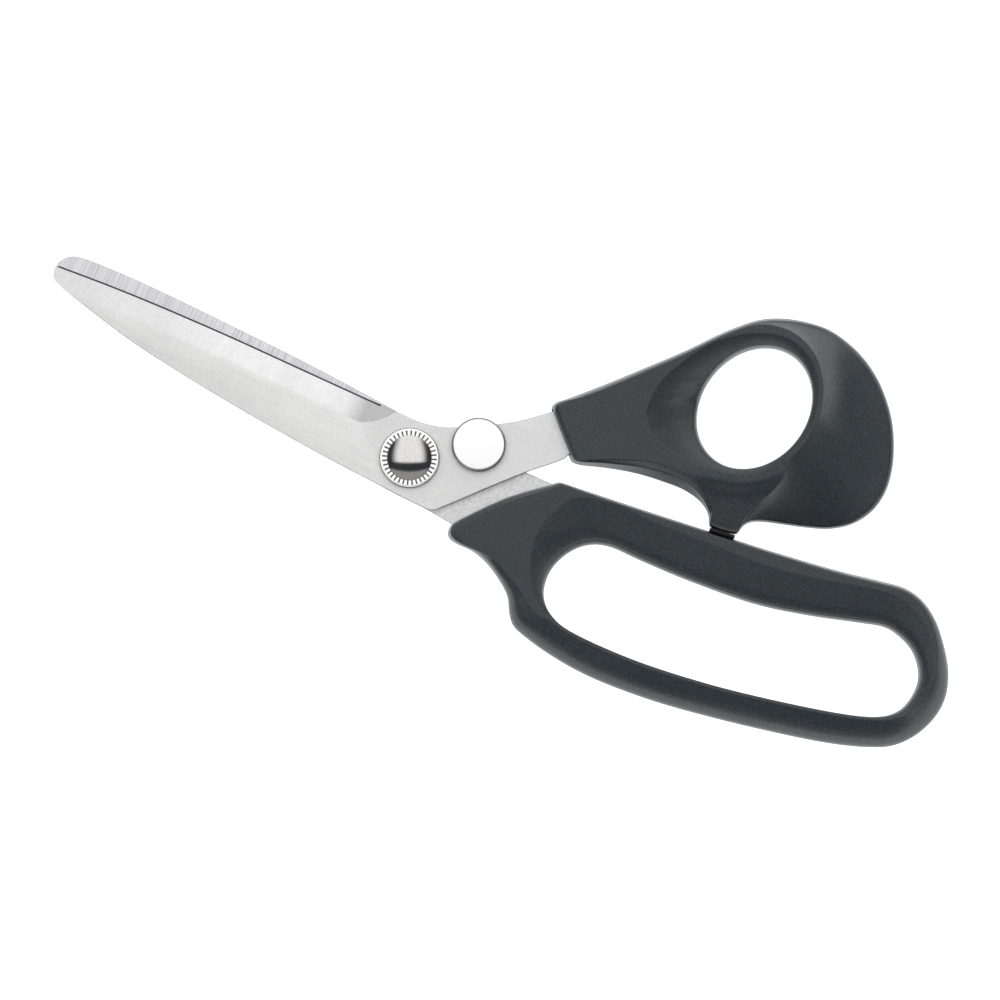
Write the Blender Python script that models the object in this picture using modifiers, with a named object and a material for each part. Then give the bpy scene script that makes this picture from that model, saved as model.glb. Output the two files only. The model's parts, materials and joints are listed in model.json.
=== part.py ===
"""Bent-handle shears with a tension dial, lying flat and closed.

Frame: origin on the pivot axis at the resting plane, +X from the tips to the handles along the
closed cutting edge, +Y towards the thumb handle, +Z out of the front face. Sizes are in millimetres.
"""
import math

import bmesh
import bpy
import numpy as np

MM = 0.001
GAP = 0.3               # clearance between touching pieces

# Heights of the stack on the pivot, from the resting plane up.
BOLT_HEAD_TOP = 2.4
SPRING_WASHER = (2.7, 3.5)
BLADE_THICKNESS = 2.5
REAR_BLADE = (3.8, 3.8 + BLADE_THICKNESS)
FRONT_BLADE = (6.6, 6.6 + BLADE_THICKNESS)
COUNTERBORE_DEPTH = 0.5
DIAL_WASHER = (9.4, 9.9)
NUT_FLANGE = (10.2, 11.3)
NUT_HUB_TOP = 12.4
CAP = (11.6, 14.2)
BOLT_TOP = 12.1
SPRING_THICKNESS = 0.5

# Radii of the pieces that turn about the pivot.
BOLT_HEAD_RADIUS = 7.0
BOLT_HEAD_EDGE = 0.8    # chamfer on the back of the head
BOLT_TIP_EDGE = 0.5
BOLT_KEYS = (7.4, 4.0, 1.6)
BOLT_RADIUS = 3.0
BORE_RADIUS = BOLT_RADIUS + GAP
BUSH_RADIUS = 4.5
BLADE_WASHER_RADIUS = 5.7
DIAL_WASHER_RADIUS = 7.65
NUT_FLANGE_RADIUS = 7.4
NUT_FLANGE_EDGE = 0.2
NUT_HUB_RADIUS = 4.6
CAP_RADIUS = 5.75
CAP_WALL = 0.75
CAP_CROWN = 1.5
KNURL_COUNT = 36
KNURL_CENTRE = 6.3      # the short radial grooves lie between the cap and the rim
KNURL_LENGTH = 1.3
KNURL_WIDTH = 0.5
KNURL_DEPTH = 0.7

# Guide rivet: a disc on the front, a shank that rides the rear blade's spine, a disc on the back.
GUIDE_XY = (14.7, 10.2)
GUIDE_DISC_RADIUS = 6.85
GUIDE_DISC = (9.4, 11.7)
GUIDE_DISC_EDGE = 0.25
GUIDE_SHANK_RADIUS = 2.5
GUIDE_SPIGOT_RADIUS = 1.5
GUIDE_SPIGOT_END = 1.1
SPIGOT_SPREAD = (0.9, 0.5)      # how far the riveted end stands out, at the disc and at the end
BACK_DISC = (1.9, 3.5)
BACK_DISC_RADIUS = 5.0

# Blade grinding: a flat bevel that ends in the sweep of the grinding wheel.
BEVEL_WIDTH = 6.0
BEVEL_DEPTH = 2.1
WHEEL_RADIUS = 17.0
BEVEL_END = -16.0       # where the wheel starts to leave the blade
FRONT_EDGE_Y = 9.9
REAR_BEVEL_SHIFT = 1.2  # how far the curved rear edge lies from its straight bevel, at most
WHEEL_START = -115
WHEEL_HEIGHT = 4.0
WHEEL_REACH = (-2, 14)  # across the bevel

# Handles.
PARTING_HEIGHT = 6.3    # plane where the two halves of the mould meet
FACE_HEIGHT = 12.7      # flat front faces of both handles
THUMB_HOLE = {"centre": (74.9, 47.2), "half_sizes": (13.4, 16.4), "turn": -13.6}
HANDLE_STEP = 3.2       # spacing of the handle sections

# Soft stop under the thumb handle's post: a slab across the post's end, and a root in a slot.
PAD_XY = (80.25, 14.85)
PAD_SLAB = (6.6, 0.6, 9.0)
PAD_ROOT = (3.6, 2.6, 6.0)
PAD_LEAN = math.atan2(0.8, 6.5)

SHEARS = "bent_handle_shears"

# Thumb handle outline, anticlockwise: x, y, and the angle on the thumb hole that it is tied to.
THUMB_OUTLINE = [
    (27.6, 26.5, 188), (28.7, 25.0, 190), (36.8, 16.9, 201), (37.8, 16.0, 203), (39.4, 15.9, 205),
    (46.6, 18.1, 213), (54.0, 19.9, 223), (61.3, 20.8, 236), (67.3, 21.0, 248), (72.4, 19.8, 258),
    (75.3, 17.6, 263), (76.2, 15.7, 266), (76.7, 15.1, 267), (83.2, 15.9, 277), (83.9, 16.4, 278),
    (84.3, 18.6, 284), (85.8, 20.5, 290), (88.6, 21.8, 298), (94.0, 23.4, 309), (99.4, 25.0, 318),
    (105.0, 27.2, 327), (109.8, 30.8, 336), (112.9, 35.7, 344), (114.0, 41.6, 352), (113.2, 47.5, 361),
    (111.2, 53.1, 370), (108.4, 58.4, 380), (104.7, 63.1, 390), (100.4, 67.1, 401), (95.3, 70.3, 412),
    (89.8, 72.4, 424), (83.9, 73.4, 437), (78.0, 72.8, 450), (72.3, 71.2, 463), (66.9, 68.4, 476),
    (60.4, 62.4, 490), (52.7, 53.4, 505), (44.6, 44.7, 519), (36.4, 36.1, 533), (30.0, 29.8, 543),
    (28.2, 28.2, 546),
]
# Thumb handle section, by angle on the hole.
THUMB_PROFILE = {
    # distance from the hole's edge up to the crease round it
    "crease": [(180, 13.6), (204, 13.4), (221, 10.0), (236, 6.0), (259, 2.8), (290, 1.7), (320, 1.3),
               (360, 1.2), (390, 1.6), (412, 2.4), (437, 3.2), (463, 4.4), (490, 5.2), (505, 6.9),
               (519, 10.0), (533, 13.0)],
    # how far the flat face reaches from the crease to the outer shoulder, 0 to 1
    "face": [(180, 0.97), (284, 0.96), (291, 0.72), (299, 0.50), (309, 0.24), (320, 0.12), (340, 0.07),
             (370, 0.06), (412, 0.12), (437, 0.22), (463, 0.5), (484, 0.96)],
    "crease_height": [(180, FACE_HEIGHT), (290, FACE_HEIGHT), (340, 13.9), (420, 13.9), (500, FACE_HEIGHT)],
    "shoulder_height": [(180, FACE_HEIGHT), (285, FACE_HEIGHT), (299, 9.0), (330, 8.6), (360, 9.2),
                        (400, 8.4), (440, 9.6), (484, FACE_HEIGHT)],
    # width of the rolled outer edge
    "shoulder": [(180, 1.1), (255, 1.1), (264, 0.7), (280, 0.7), (288, 1.2), (299, 3.5), (330, 5.0),
                 (360, 8.0), (400, 7.0), (440, 4.0), (475, 1.8), (500, 1.2)],
    # how hollow the flank is: 1 is straight
    "hollow": [(180, 1.0), (284, 1.2), (299, 2.6), (360, 3.0), (420, 2.4), (484, 1.0)],
    "scoop": [(180, 1.35), (236, 1.4), (280, 1.9), (360, 2.2), (430, 1.9), (505, 1.4)],
    "hole_parting": [(180, 4.6), (270, PARTING_HEIGHT), (360, 8.0), (450, PARTING_HEIGHT)],
    "outer_parting": [(180, PARTING_HEIGHT), (290, PARTING_HEIGHT), (360, 4.6), (480, PARTING_HEIGHT)],
    "back_hole_roll": [(180, 2.0), (270, 3.0), (360, 9.0), (450, 3.0)],
    "back_outer_roll": [(180, 1.2), (284, 1.2), (320, 4.0), (360, 6.0), (420, 4.0), (484, 1.2)],
}
# The slots that hold the tangs, as outlines a little larger than the tangs.
THUMB_POCKET = [(24.0, 23.0), (29.8, 27.4), (44.5, 39.1), (50.3, 32.2), (37.8, 18.7), (34.0, 14.0)]
FINGER_POCKET = [(30.0, 9.3), (36.2, 9.2), (39.2, 7.8), (57.4, 7.2), (57.4, 3.0), (46.2, 1.8),
                 (36.8, -4.4), (29.2, -10.9), (21.0, -11.9), (12.0, -11.4)]

# Finger loop's hole, anticlockwise from its left end.
FINGER_HOLE = [
    (44.3, -12.2), (45.4, -18.1), (49.7, -22.1), (57.0, -23.7), (73.4, -23.6), (92.0, -21.6),
    (109.0, -18.6), (126.0, -14.8), (135.1, -11.7), (139.6, -7.8), (141.1, -2.2), (140.2, 2.5),
    (136.9, 6.7), (132.5, 9.0), (127.5, 9.8), (120.8, 8.1), (108.0, 4.5), (94.5, 1.7),
    (78.0, 0.4), (64.6, 0.1), (55.6, 0.1), (50.0, -2.0), (46.1, -6.5),
]
# Finger handle outline, anticlockwise: x, y, and the place on the hole's list that it is tied to.
FINGER_OUTLINE = [
    (37.0, 9.9, 21.2), (35.6, 8.6, 21.35), (31.1, 4.9, 21.6), (26.6, 0.9, 21.9), (22.5, -3.5, 22.2),
    (18.7, -8.1, 22.5), (16.8, -10.6, 22.7), (16.3, -12.4, 22.8), (17.2, -14.4, 22.95),
    (19.6, -15.0, 23.1), (23.7, -15.0, 23.25), (28.0, -16.1, 23.45), (33.0, -18.8, 23.7),
    (37.0, -22.0, 24.0), (39.0, -25.5, 24.3), (41.2, -28.1, 24.6), (45.5, -29.6, 25.0),
    (53.5, -31.2, 25.7), (64.0, -32.1, 26.4), (80.2, -31.3, 27.4), (97.0, -28.9, 28.3),
    (115.5, -25.4, 29.3), (127.1, -22.7, 29.95), (135.6, -19.9, 30.6), (141.6, -16.9, 31.2),
    (146.0, -12.0, 31.9), (148.7, -5.5, 32.5), (149.0, 0.0, 33.1), (147.2, 5.8, 33.9),
    (143.5, 11.5, 34.7), (138.5, 17.0, 35.5), (133.5, 20.1, 36.2), (128.5, 21.1, 36.8),
    (122.0, 20.2, 37.7), (111.5, 18.3, 38.7), (93.9, 15.9, 40.0), (79.5, 14.3, 40.9),
    (62.3, 12.5, 42.2), (50.3, 11.3, 43.3), (42.0, 10.5, 43.9), (38.6, 10.2, 44.1),
]
# Finger handle section, by place on the hole's list.
FINGER_PROFILE = {
    "crease": [(21.5, 12.0), (22.0, 9.8), (22.6, 7.5), (23.0, 5.8), (23.6, 4.2), (24.2, 2.7), (25.0, 1.8),
               (31.0, 1.9), (32.0, 3.0), (33.0, 4.2), (36.0, 3.8), (38.0, 3.4), (42.0, 3.6), (43.0, 5.0),
               (43.7, 9.0), (44.0, 12.0)],
    "face": [(21.5, 0.97), (33.0, 0.5), (36.0, 0.97)],
    "crease_height": [(21.5, FACE_HEIGHT), (25.0, 12.4), (31.0, 12.4), (36.0, FACE_HEIGHT)],
    "shoulder_height": [(21.5, FACE_HEIGHT), (23.2, FACE_HEIGHT), (25.0, 11.8), (31.0, 11.8),
                        (36.0, FACE_HEIGHT)],
    "shoulder": [(21.5, 1.1), (22.7, 1.2), (23.3, 2.6), (24.3, 3.4), (25.5, 4.8), (30.0, 5.0), (33.0, 3.8),
                 (36.0, 2.0), (37.5, 1.1), (43.0, 1.0)],
    "hollow": [(21.5, 1.0), (40.0, 1.0)],
    "scoop": [(21.5, 1.6), (23.5, 1.8), (25.0, 2.2), (33.0, 2.0), (42.0, 1.9), (44.0, 1.6)],
    "hole_parting": [(21.5, PARTING_HEIGHT), (33.0, PARTING_HEIGHT)],
    "outer_parting": [(21.5, PARTING_HEIGHT), (33.0, PARTING_HEIGHT)],
    "back_hole_roll": [(21.5, 3.0), (25.0, 2.6), (33.0, 3.4), (40.0, 3.0)],
    "back_outer_roll": [(21.5, 1.2), (23.0, 1.6), (25.0, 3.4), (31.0, 3.4), (36.0, 1.4)],
}

# Blade outlines. Curved stretches run smoothly through their points.
FRONT_EDGE = [(-101.3, 8.6), (-89.3, 9.3), (-75.0, 9.8), (-55.0, 10.0), (-35.0, 9.8), (-7.6, 9.5)]
FRONT_TOP = [(-7.6, 9.5), (-1.6, 9.5), (4.3, 10.6), (10.6, 13.5), (17.4, 17.3), (22.6, 20.8), (27.4, 24.8)]
FRONT_TANG = [(30.0, 26.9), (44.5, 38.6), (49.8, 32.2), (37.4, 19.0)]
FRONT_UNDER_TANG = [(36.0, 15.9), (33.4, 13.3), (28.4, 8.7), (22.0, 2.1), (15.8, -4.6)]
FRONT_HEEL = [(15.8, -4.6), (12.6, -8.0), (11.0, -9.5), (8.9, -10.0)]
FRONT_SPINE = [(8.9, -10.0), (-0.2, -9.6), (-21.1, -8.3), (-47.9, -5.7), (-74.5, -2.0), (-92.0, 2.0),
               (-98.8, 3.8), (-101.2, 5.0), (-102.2, 7.0)]

REAR_SPINE = [(-102.2, 7.4), (-101.6, 9.8), (-99.8, 11.8), (-96.4, 12.8), (-88.0, 13.2), (-76.0, 13.2),
              (-58.0, 12.6), (-34.0, 11.6), (-10.5, 9.9), (-7.4, 9.4), (-1.6, 9.2), (8.0, 8.9)]
REAR_TANG = [(36.0, 8.8), (39.0, 7.4), (57.0, 6.8), (57.0, 3.4), (46.0, 2.2), (36.5, -4.0),
             (29.0, -10.4), (21.0, -11.4)]
REAR_UNDER = [(16.6, -10.9), (8.9, -10.1), (-0.2, -9.7), (-10.0, -8.9)]
REAR_EDGE = [(-10.0, -8.9), (-21.0, -7.2), (-38.9, -4.2), (-56.8, -1.6), (-74.5, 1.3), (-92.0, 5.2),
             (-101.0, 7.0)]


def collection(name):
    made = bpy.data.collections.new(name)
    bpy.context.scene.collection.children.link(made)
    return made


def material(name, colour, roughness, metallic):
    made = bpy.data.materials.new(name)
    made.use_nodes = True
    shader = made.node_tree.nodes["Principled BSDF"]
    shader.inputs["Base Color"].default_value = (*colour, 1.0)
    shader.inputs["Roughness"].default_value = roughness
    shader.inputs["Metallic"].default_value = metallic
    made.diffuse_color = (*colour, 1.0)
    return made


def link(obj, group):
    group.objects.link(obj)
    return obj


def smooth(obj, angle=35):
    obj.data.shade_smooth()
    obj.data.set_sharp_from_angle(angle=math.radians(angle))


def spline(points, steps=4):
    """Points along a Catmull-Rom curve through a short list of points."""
    anchors = np.array(points, float)
    ends = np.vstack([2 * anchors[0] - anchors[1], anchors, 2 * anchors[-1] - anchors[-2]])
    out = []
    for a, b, c, d in zip(ends, ends[1:], ends[2:], ends[3:]):
        for k in range(steps):
            t = k / steps
            cubic = (3 * b - a - 3 * c + d) * t ** 3
            out.append(0.5 * (2 * b + (c - a) * t + (2 * a - 5 * b + 4 * c - d) * t ** 2 + cubic))
    out.append(anchors[-1])
    return [tuple(p) for p in out]


def closed_curve(knots, values, period, gain=0.0, limited=False):
    """A smooth periodic function through values at knots; gain is what one turn adds."""
    knots = np.array(knots, float)
    values = np.array(values, float).reshape(len(knots), -1)
    gaps = np.append(knots[1:], knots[0] + period) - knots
    following = np.vstack([values[1:], values[:1] + gain])
    rise = (following - values) / gaps[:, None]
    before = np.roll(rise, 1, axis=0)
    weight = np.roll(gaps, 1)[:, None] / (np.roll(gaps, 1) + gaps)[:, None]
    slope = before * (1 - weight) + rise * weight
    if limited:
        total = np.where(before * rise > 0, before + rise, 1.0)
        slope = np.where(before * rise > 0, 2 * before * rise / total, 0.0)

    def at(t):
        t = (np.asarray(t, float) - knots[0]) % period + knots[0]
        i = np.clip(np.searchsorted(knots, t, side="right") - 1, 0, len(knots) - 1)
        h = gaps[i][:, None]
        u = (t - knots[i])[:, None] / h
        end_slope = np.roll(slope, -1, axis=0)[i]
        start = (2 * u ** 3 - 3 * u ** 2 + 1) * values[i] + (u ** 3 - 2 * u ** 2 + u) * h * slope[i]
        finish = (3 * u ** 2 - 2 * u ** 3) * following[i] + (u ** 3 - u ** 2) * h * end_slope
        return start + finish
    return at


def thumb_hole(angles):
    """Points on the thumb hole, a turned ellipse, at angles in degrees about its centre."""
    turn = math.radians(THUMB_HOLE["turn"])
    a, b = THUMB_HOLE["half_sizes"]
    local = np.radians(angles) - turn
    radius = a * b / np.hypot(b * np.cos(local), a * np.sin(local))
    direction = np.stack([np.cos(np.radians(angles)), np.sin(np.radians(angles))], axis=1)
    return np.array(THUMB_HOLE["centre"]) + radius[:, None] * direction


def roll(start, end, power, count):
    """A quarter turn from an upright start to a level end; power 2 is an ellipse, 1 a straight line.

    start and end are (distance, height) pairs of arrays; power is a number or an array. The end
    point itself is left out.
    """
    columns = []
    for k in range(count):
        a = math.radians(90) * k / count
        along = 1 - math.cos(a) ** (2 / power)
        up = math.sin(a) ** (2 / power)
        columns.append((start[0] + (end[0] - start[0]) * along, start[1] + (end[1] - start[1]) * up))
    return columns


def handle_mesh(name, outline, profile, hole_at, turn, step, counts):
    """A moulded ring: sections run from the hole's edge to the outline and back underneath."""
    places = np.array(outline, float)
    chords = np.linalg.norm(np.roll(places[:, :2], -1, axis=0) - places[:, :2], axis=1)
    gaps = np.sqrt(chords)
    knots = np.concatenate([[0], np.cumsum(gaps)[:-1]])
    period = gaps.sum()
    parts = [max(1, round(c / step)) for c in chords]
    t = np.concatenate([k + g * np.arange(n) / n for k, g, n in zip(knots, gaps, parts)])
    outer = closed_curve(knots, places[:, :2], period)(t)
    around = closed_curve(knots, places[:, 2], period, gain=turn)(t)[:, 0]
    inner = hole_at(around)
    section = {}
    for key, pairs in profile.items():
        section[key] = closed_curve(*zip(*pairs), turn, limited=True)(around)[:, 0]

    width = np.linalg.norm(outer - inner, axis=1)
    scoop_count, face_count, flank_count, roll_count, back_count = counts
    shoulder_at = width - section["shoulder"]
    ridge_at = section["crease"] + section["face"] * (shoulder_at - section["crease"])
    hole_edge = (np.zeros(len(t)), section["hole_parting"])
    crease = (section["crease"], section["crease_height"])
    shoulder = (shoulder_at, section["shoulder_height"])
    outer_edge = (width, section["outer_parting"])
    back_outer = (width - section["back_outer_roll"], np.zeros(len(t)))
    back_inner = (section["back_hole_roll"], np.zeros(len(t)))

    columns = roll(hole_edge, crease, section["scoop"], scoop_count)
    for k in range(face_count):
        columns.append((crease[0] + (ridge_at - crease[0]) * k / face_count, crease[1]))
    for k in range(flank_count):
        left = 1 - k / flank_count
        fall = (crease[1] - shoulder[1]) * left ** section["hollow"]
        columns.append((ridge_at + (shoulder[0] - ridge_at) * (1 - left), shoulder[1] + fall))
    columns += [shoulder]
    columns += roll(outer_edge, shoulder, 2, roll_count)[::-1]
    columns += roll(outer_edge, back_outer, 2, roll_count)[1:]
    for k in range(back_count):
        columns.append((back_outer[0] + (back_inner[0] - back_outer[0]) * k / back_count, back_outer[1]))
    columns += [back_inner]
    columns += roll(hole_edge, back_inner, 2, roll_count)[:0:-1]

    direction = (outer - inner) / width[:, None]
    grid = np.empty((len(t), len(columns), 3))
    for j, (distance, height) in enumerate(columns):
        grid[:, j, :2] = inner + direction * distance[:, None]
        grid[:, j, 2] = height
    rows, across = grid.shape[:2]
    faces = []
    for i in range(rows):
        for j in range(across):
            following = (i + 1) % rows
            beside = (j + 1) % across
            corners = (i * across + j, i * across + beside, following * across + beside,
                       following * across + j)
            faces.append(corners)
    mesh = bpy.data.meshes.new(name)
    mesh.from_pydata((grid.reshape(-1, 3) * MM).tolist(), [], faces)
    return face_outwards(mesh)


def face_outwards(mesh):
    shape = bmesh.new()
    shape.from_mesh(mesh)
    bmesh.ops.recalc_face_normals(shape, faces=shape.faces)
    shape.to_mesh(mesh)
    shape.free()
    return mesh


def plate(name, outline, low, high, group):
    """A flat plate with the given outline, from a filled curve."""
    curve = bpy.data.curves.new(name, "CURVE")
    curve.dimensions = "2D"
    curve.fill_mode = "BOTH"
    curve.extrude = (high - low) / 2 * MM
    line = curve.splines.new("POLY")
    line.points.add(len(outline) - 1)
    for point, (x, y) in zip(line.points, outline):
        point.co = (x * MM, y * MM, 0, 1)
    line.use_cyclic_u = True
    source = link(bpy.data.objects.new(name + "_outline", curve), group)
    source.location.z = (low + high) / 2 * MM
    bpy.context.view_layer.update()
    evaluated = source.evaluated_get(bpy.context.evaluated_depsgraph_get())
    mesh = bpy.data.meshes.new_from_object(evaluated)
    mesh.name = name
    shape = bmesh.new()
    shape.from_mesh(mesh)
    bmesh.ops.remove_doubles(shape, verts=shape.verts, dist=1e-7)
    bmesh.ops.recalc_face_normals(shape, faces=shape.faces)
    shape.to_mesh(mesh)
    shape.free()
    made = link(bpy.data.objects.new(name, mesh), group)
    made.matrix_world = source.matrix_world.copy()
    bpy.data.objects.remove(source)
    bpy.data.curves.remove(curve)
    return made


def turned(name, profile, group, steps=36, centre=(0, 0)):
    """A turned piece: profile holds (radius, height), down the outside from the top."""
    shape = bmesh.new()
    corners = [shape.verts.new((r * MM, 0, z * MM)) for r, z in profile]
    for a, b in zip(corners, corners[1:]):
        shape.edges.new((a, b))
    if profile[0][0] > 0:
        shape.edges.new((corners[-1], corners[0]))
    mesh = bpy.data.meshes.new(name)
    shape.to_mesh(mesh)
    shape.free()
    made = link(bpy.data.objects.new(name, mesh), group)
    made.location = (centre[0] * MM, centre[1] * MM, 0)
    screw = made.modifiers.new("turn", "SCREW")
    screw.steps = steps
    screw.render_steps = steps
    screw.use_merge_vertices = True
    screw.merge_threshold = 1e-6
    screw.use_smooth_shade = True
    return made


def ring(name, inner, outer, low, high, group, steps=36, centre=(0, 0)):
    return turned(name, [(inner, high), (outer, high), (outer, low), (inner, low)], group, steps, centre)


def post(name, radius, low, high, group, steps=36, centre=(0, 0)):
    """A solid cylinder."""
    return turned(name, [(0, high), (radius, high), (radius, low), (0, low)], group, steps, centre)


def as_cutter(obj):
    obj.hide_render = True
    obj.display_type = "WIRE"
    return obj


def boolean(obj, other, operation):
    modifier = obj.modifiers.new(other.name, "BOOLEAN")
    modifier.operation = operation
    modifier.object = other
    modifier.solver = "EXACT"


def cut(obj, cutter):
    boolean(obj, as_cutter(cutter), "DIFFERENCE")


def bevel_cutter(name, line_y, face_z, edge_side, end_x, tilt, group):
    """The space a grinding wheel sweeps: flat along the blade, curving up where the wheel leaves it.

    line_y is where the bevel starts on the blade's face, edge_side is +1 when it falls towards +Y,
    and face_z's sign gives the side of the blade that is ground.
    """
    sweep = math.acos(1 - WHEEL_HEIGHT / WHEEL_RADIUS)
    profile = [(WHEEL_START, WHEEL_HEIGHT), (WHEEL_START, 0)]
    steps = 12
    for k in range(steps + 1):
        a = sweep * k / steps
        profile.append((end_x + WHEEL_RADIUS * math.sin(a), WHEEL_RADIUS * (1 - math.cos(a))))
    cutter = plate(name, profile, *WHEEL_REACH, group)
    # Stand the profile up in XZ, then lean it by the bevel's angle.
    stand = [(1, 0, 0), (0, 0, edge_side), (0, math.copysign(1, face_z), 0)]
    for vertex in cutter.data.vertices:
        world = cutter.matrix_world @ vertex.co
        vertex.co = [sum(row[k] * world[k] for k in range(3)) for row in stand]
    cutter.matrix_world.identity()
    face_outwards(cutter.data)
    slope = math.atan2(BEVEL_DEPTH, BEVEL_WIDTH)
    cutter.rotation_euler.x = -slope * edge_side * math.copysign(1, face_z)
    cutter.rotation_euler.z = tilt
    cutter.location = (0, line_y * MM, abs(face_z) * MM)
    return cutter


def make_blades(parts, cutters, steel):
    front_outline = spline(FRONT_EDGE)[:-1] + spline(FRONT_TOP) + FRONT_TANG + FRONT_UNDER_TANG[:-1]
    front_outline += spline(FRONT_HEEL, 3)[:-1] + spline(FRONT_SPINE)
    front = plate("front_blade", front_outline, *FRONT_BLADE, parts)
    line_y = FRONT_EDGE_Y - BEVEL_WIDTH
    cut(front, bevel_cutter("front_bevel", line_y, FRONT_BLADE[1], 1, BEVEL_END, 0, cutters))
    recess = BLADE_WASHER_RADIUS + GAP
    low, high = FRONT_BLADE
    cut(front, post("front_bore", BUSH_RADIUS + GAP, low - 1, high + 1, cutters))
    cut(front, post("front_counterbore", recess, low - 1, low + COUNTERBORE_DEPTH, cutters))
    cut(front, post("guide_bore", GUIDE_SHANK_RADIUS + GAP, low - 1, high + 1, cutters, centre=GUIDE_XY))

    rear_outline = spline(REAR_SPINE) + REAR_TANG + spline(REAR_UNDER)[:-1] + spline(REAR_EDGE)
    rear = plate("rear_blade", rear_outline, *REAR_BLADE, parts)
    # The rear bevel's line runs from the heel up to the tip.
    heel, tip = REAR_EDGE[0], REAR_EDGE[-1]
    tilt = math.atan2(heel[1] - tip[1], heel[0] - tip[0])
    line_y = heel[1] - heel[0] * math.tan(tilt) + (BEVEL_WIDTH - REAR_BEVEL_SHIFT) / math.cos(tilt)
    cut(rear, bevel_cutter("rear_bevel", line_y, -REAR_BLADE[0], -1, BEVEL_END, tilt, cutters))
    low, high = REAR_BLADE
    cut(rear, post("rear_bore", BORE_RADIUS, low - 1, high + 1, cutters))
    key_slot = (BOLT_KEYS[0] + 2 * GAP, BOLT_KEYS[1] + 2 * GAP, 4)
    cut(rear, box("rear_key_slot", key_slot, (0, 0, low + 1), cutters))
    cut(rear, post("rear_counterbore", recess, high - COUNTERBORE_DEPTH, high + 1, cutters))
    cut(rear, post("stop_notch", GUIDE_SHANK_RADIUS + GAP, low - 1, high + 1, cutters, centre=GUIDE_XY))
    for blade in (front, rear):
        blade.data.materials.append(steel)
        smooth(blade, 20)
    return front, rear


def box(name, size, centre, group):
    shape = bmesh.new()
    bmesh.ops.create_cube(shape, size=1)
    for vertex in shape.verts:
        vertex.co = [c * s * MM for c, s in zip(vertex.co, size)]
    mesh = bpy.data.meshes.new(name)
    shape.to_mesh(mesh)
    shape.free()
    made = link(bpy.data.objects.new(name, mesh), group)
    made.location = [c * MM for c in centre]
    return made


def make_pivot(parts, cutters, steel, bright, bronze, fibre):
    head = BOLT_HEAD_TOP
    r = BOLT_RADIUS
    profile = [(0, BOLT_TOP), (r - BOLT_TIP_EDGE, BOLT_TOP), (r, BOLT_TOP - BOLT_TIP_EDGE), (r, head),
               (BOLT_HEAD_RADIUS, head), (BOLT_HEAD_RADIUS, BOLT_HEAD_EDGE),
               (BOLT_HEAD_RADIUS - BOLT_HEAD_EDGE, 0), (0, 0)]
    bolt = turned("pivot_bolt", profile, parts)
    # Two keys lock the bolt to the rear blade, so that only the nut turns.
    keys = box("bolt_keys", BOLT_KEYS, (0, 0, REAR_BLADE[0] + BOLT_KEYS[2] / 2), cutters)
    boolean(bolt, as_cutter(keys), "UNION")

    low, high = SPRING_WASHER
    rim = BOLT_HEAD_RADIUS - GAP
    cone = [(BORE_RADIUS, high), (rim, low + SPRING_THICKNESS), (rim, low),
            (BORE_RADIUS, high - SPRING_THICKNESS)]
    spring = turned("spring_washer", cone, parts)
    washer = ring("blade_washer", BORE_RADIUS, BLADE_WASHER_RADIUS,
                  REAR_BLADE[1] - COUNTERBORE_DEPTH + GAP, FRONT_BLADE[0] + COUNTERBORE_DEPTH - GAP, parts)
    bush = ring("pivot_bush", BORE_RADIUS, BUSH_RADIUS, FRONT_BLADE[0] + COUNTERBORE_DEPTH,
                FRONT_BLADE[1], parts)
    dial = ring("dial_washer", BORE_RADIUS, DIAL_WASHER_RADIUS, *DIAL_WASHER, parts)

    low, high = NUT_FLANGE
    edge = NUT_FLANGE_EDGE
    profile = [(BORE_RADIUS, NUT_HUB_TOP), (NUT_HUB_RADIUS, NUT_HUB_TOP), (NUT_HUB_RADIUS, high),
               (NUT_FLANGE_RADIUS - edge, high), (NUT_FLANGE_RADIUS, high - edge),
               (NUT_FLANGE_RADIUS, low), (BORE_RADIUS, low)]
    nut = turned("tension_nut", profile, parts, steps=72)
    cut(nut, knurl_cutter(cutters))

    low, high = CAP
    outside = dome(CAP_RADIUS, low, high, CAP_CROWN, 8)
    inside = dome(CAP_RADIUS - CAP_WALL, low, high - CAP_WALL, CAP_CROWN, 5)
    cap = turned("nut_cap", outside + inside[::-1], parts)
    pieces = {bolt: steel, spring: steel, washer: fibre, bush: bronze, dial: steel, nut: bright, cap: bright}
    for piece, finish in pieces.items():
        piece.data.materials.append(finish)
    return bolt, spring, washer, bush, dial, nut, cap


def dome(radius, low, high, crown, count):
    """Half of a cap's outline, from its middle down to its rim: a flat crown on an upright side."""
    out = []
    for k in range(count + 1):
        a = math.radians(90) * k / count
        out.append((radius * math.sin(a), high - crown + crown * math.cos(a) ** 0.8))
    out.append((radius, low))
    return out


def knurl_cutter(group):
    """Radial grooves round the nut's rim, as one cutter."""
    shape = bmesh.new()
    for k in range(KNURL_COUNT):
        angle = 2 * math.pi * k / KNURL_COUNT
        made = bmesh.ops.create_cube(shape, size=1)
        for vertex in made["verts"]:
            x = KNURL_CENTRE + vertex.co.x * KNURL_LENGTH
            y = vertex.co.y * KNURL_WIDTH
            z = NUT_FLANGE[1] + vertex.co.z * 2 * KNURL_DEPTH
            vertex.co = ((x * math.cos(angle) - y * math.sin(angle)) * MM,
                         (x * math.sin(angle) + y * math.cos(angle)) * MM, z * MM)
    mesh = bpy.data.meshes.new("knurl")
    shape.to_mesh(mesh)
    shape.free()
    return link(bpy.data.objects.new("knurl", mesh), group)


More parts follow.
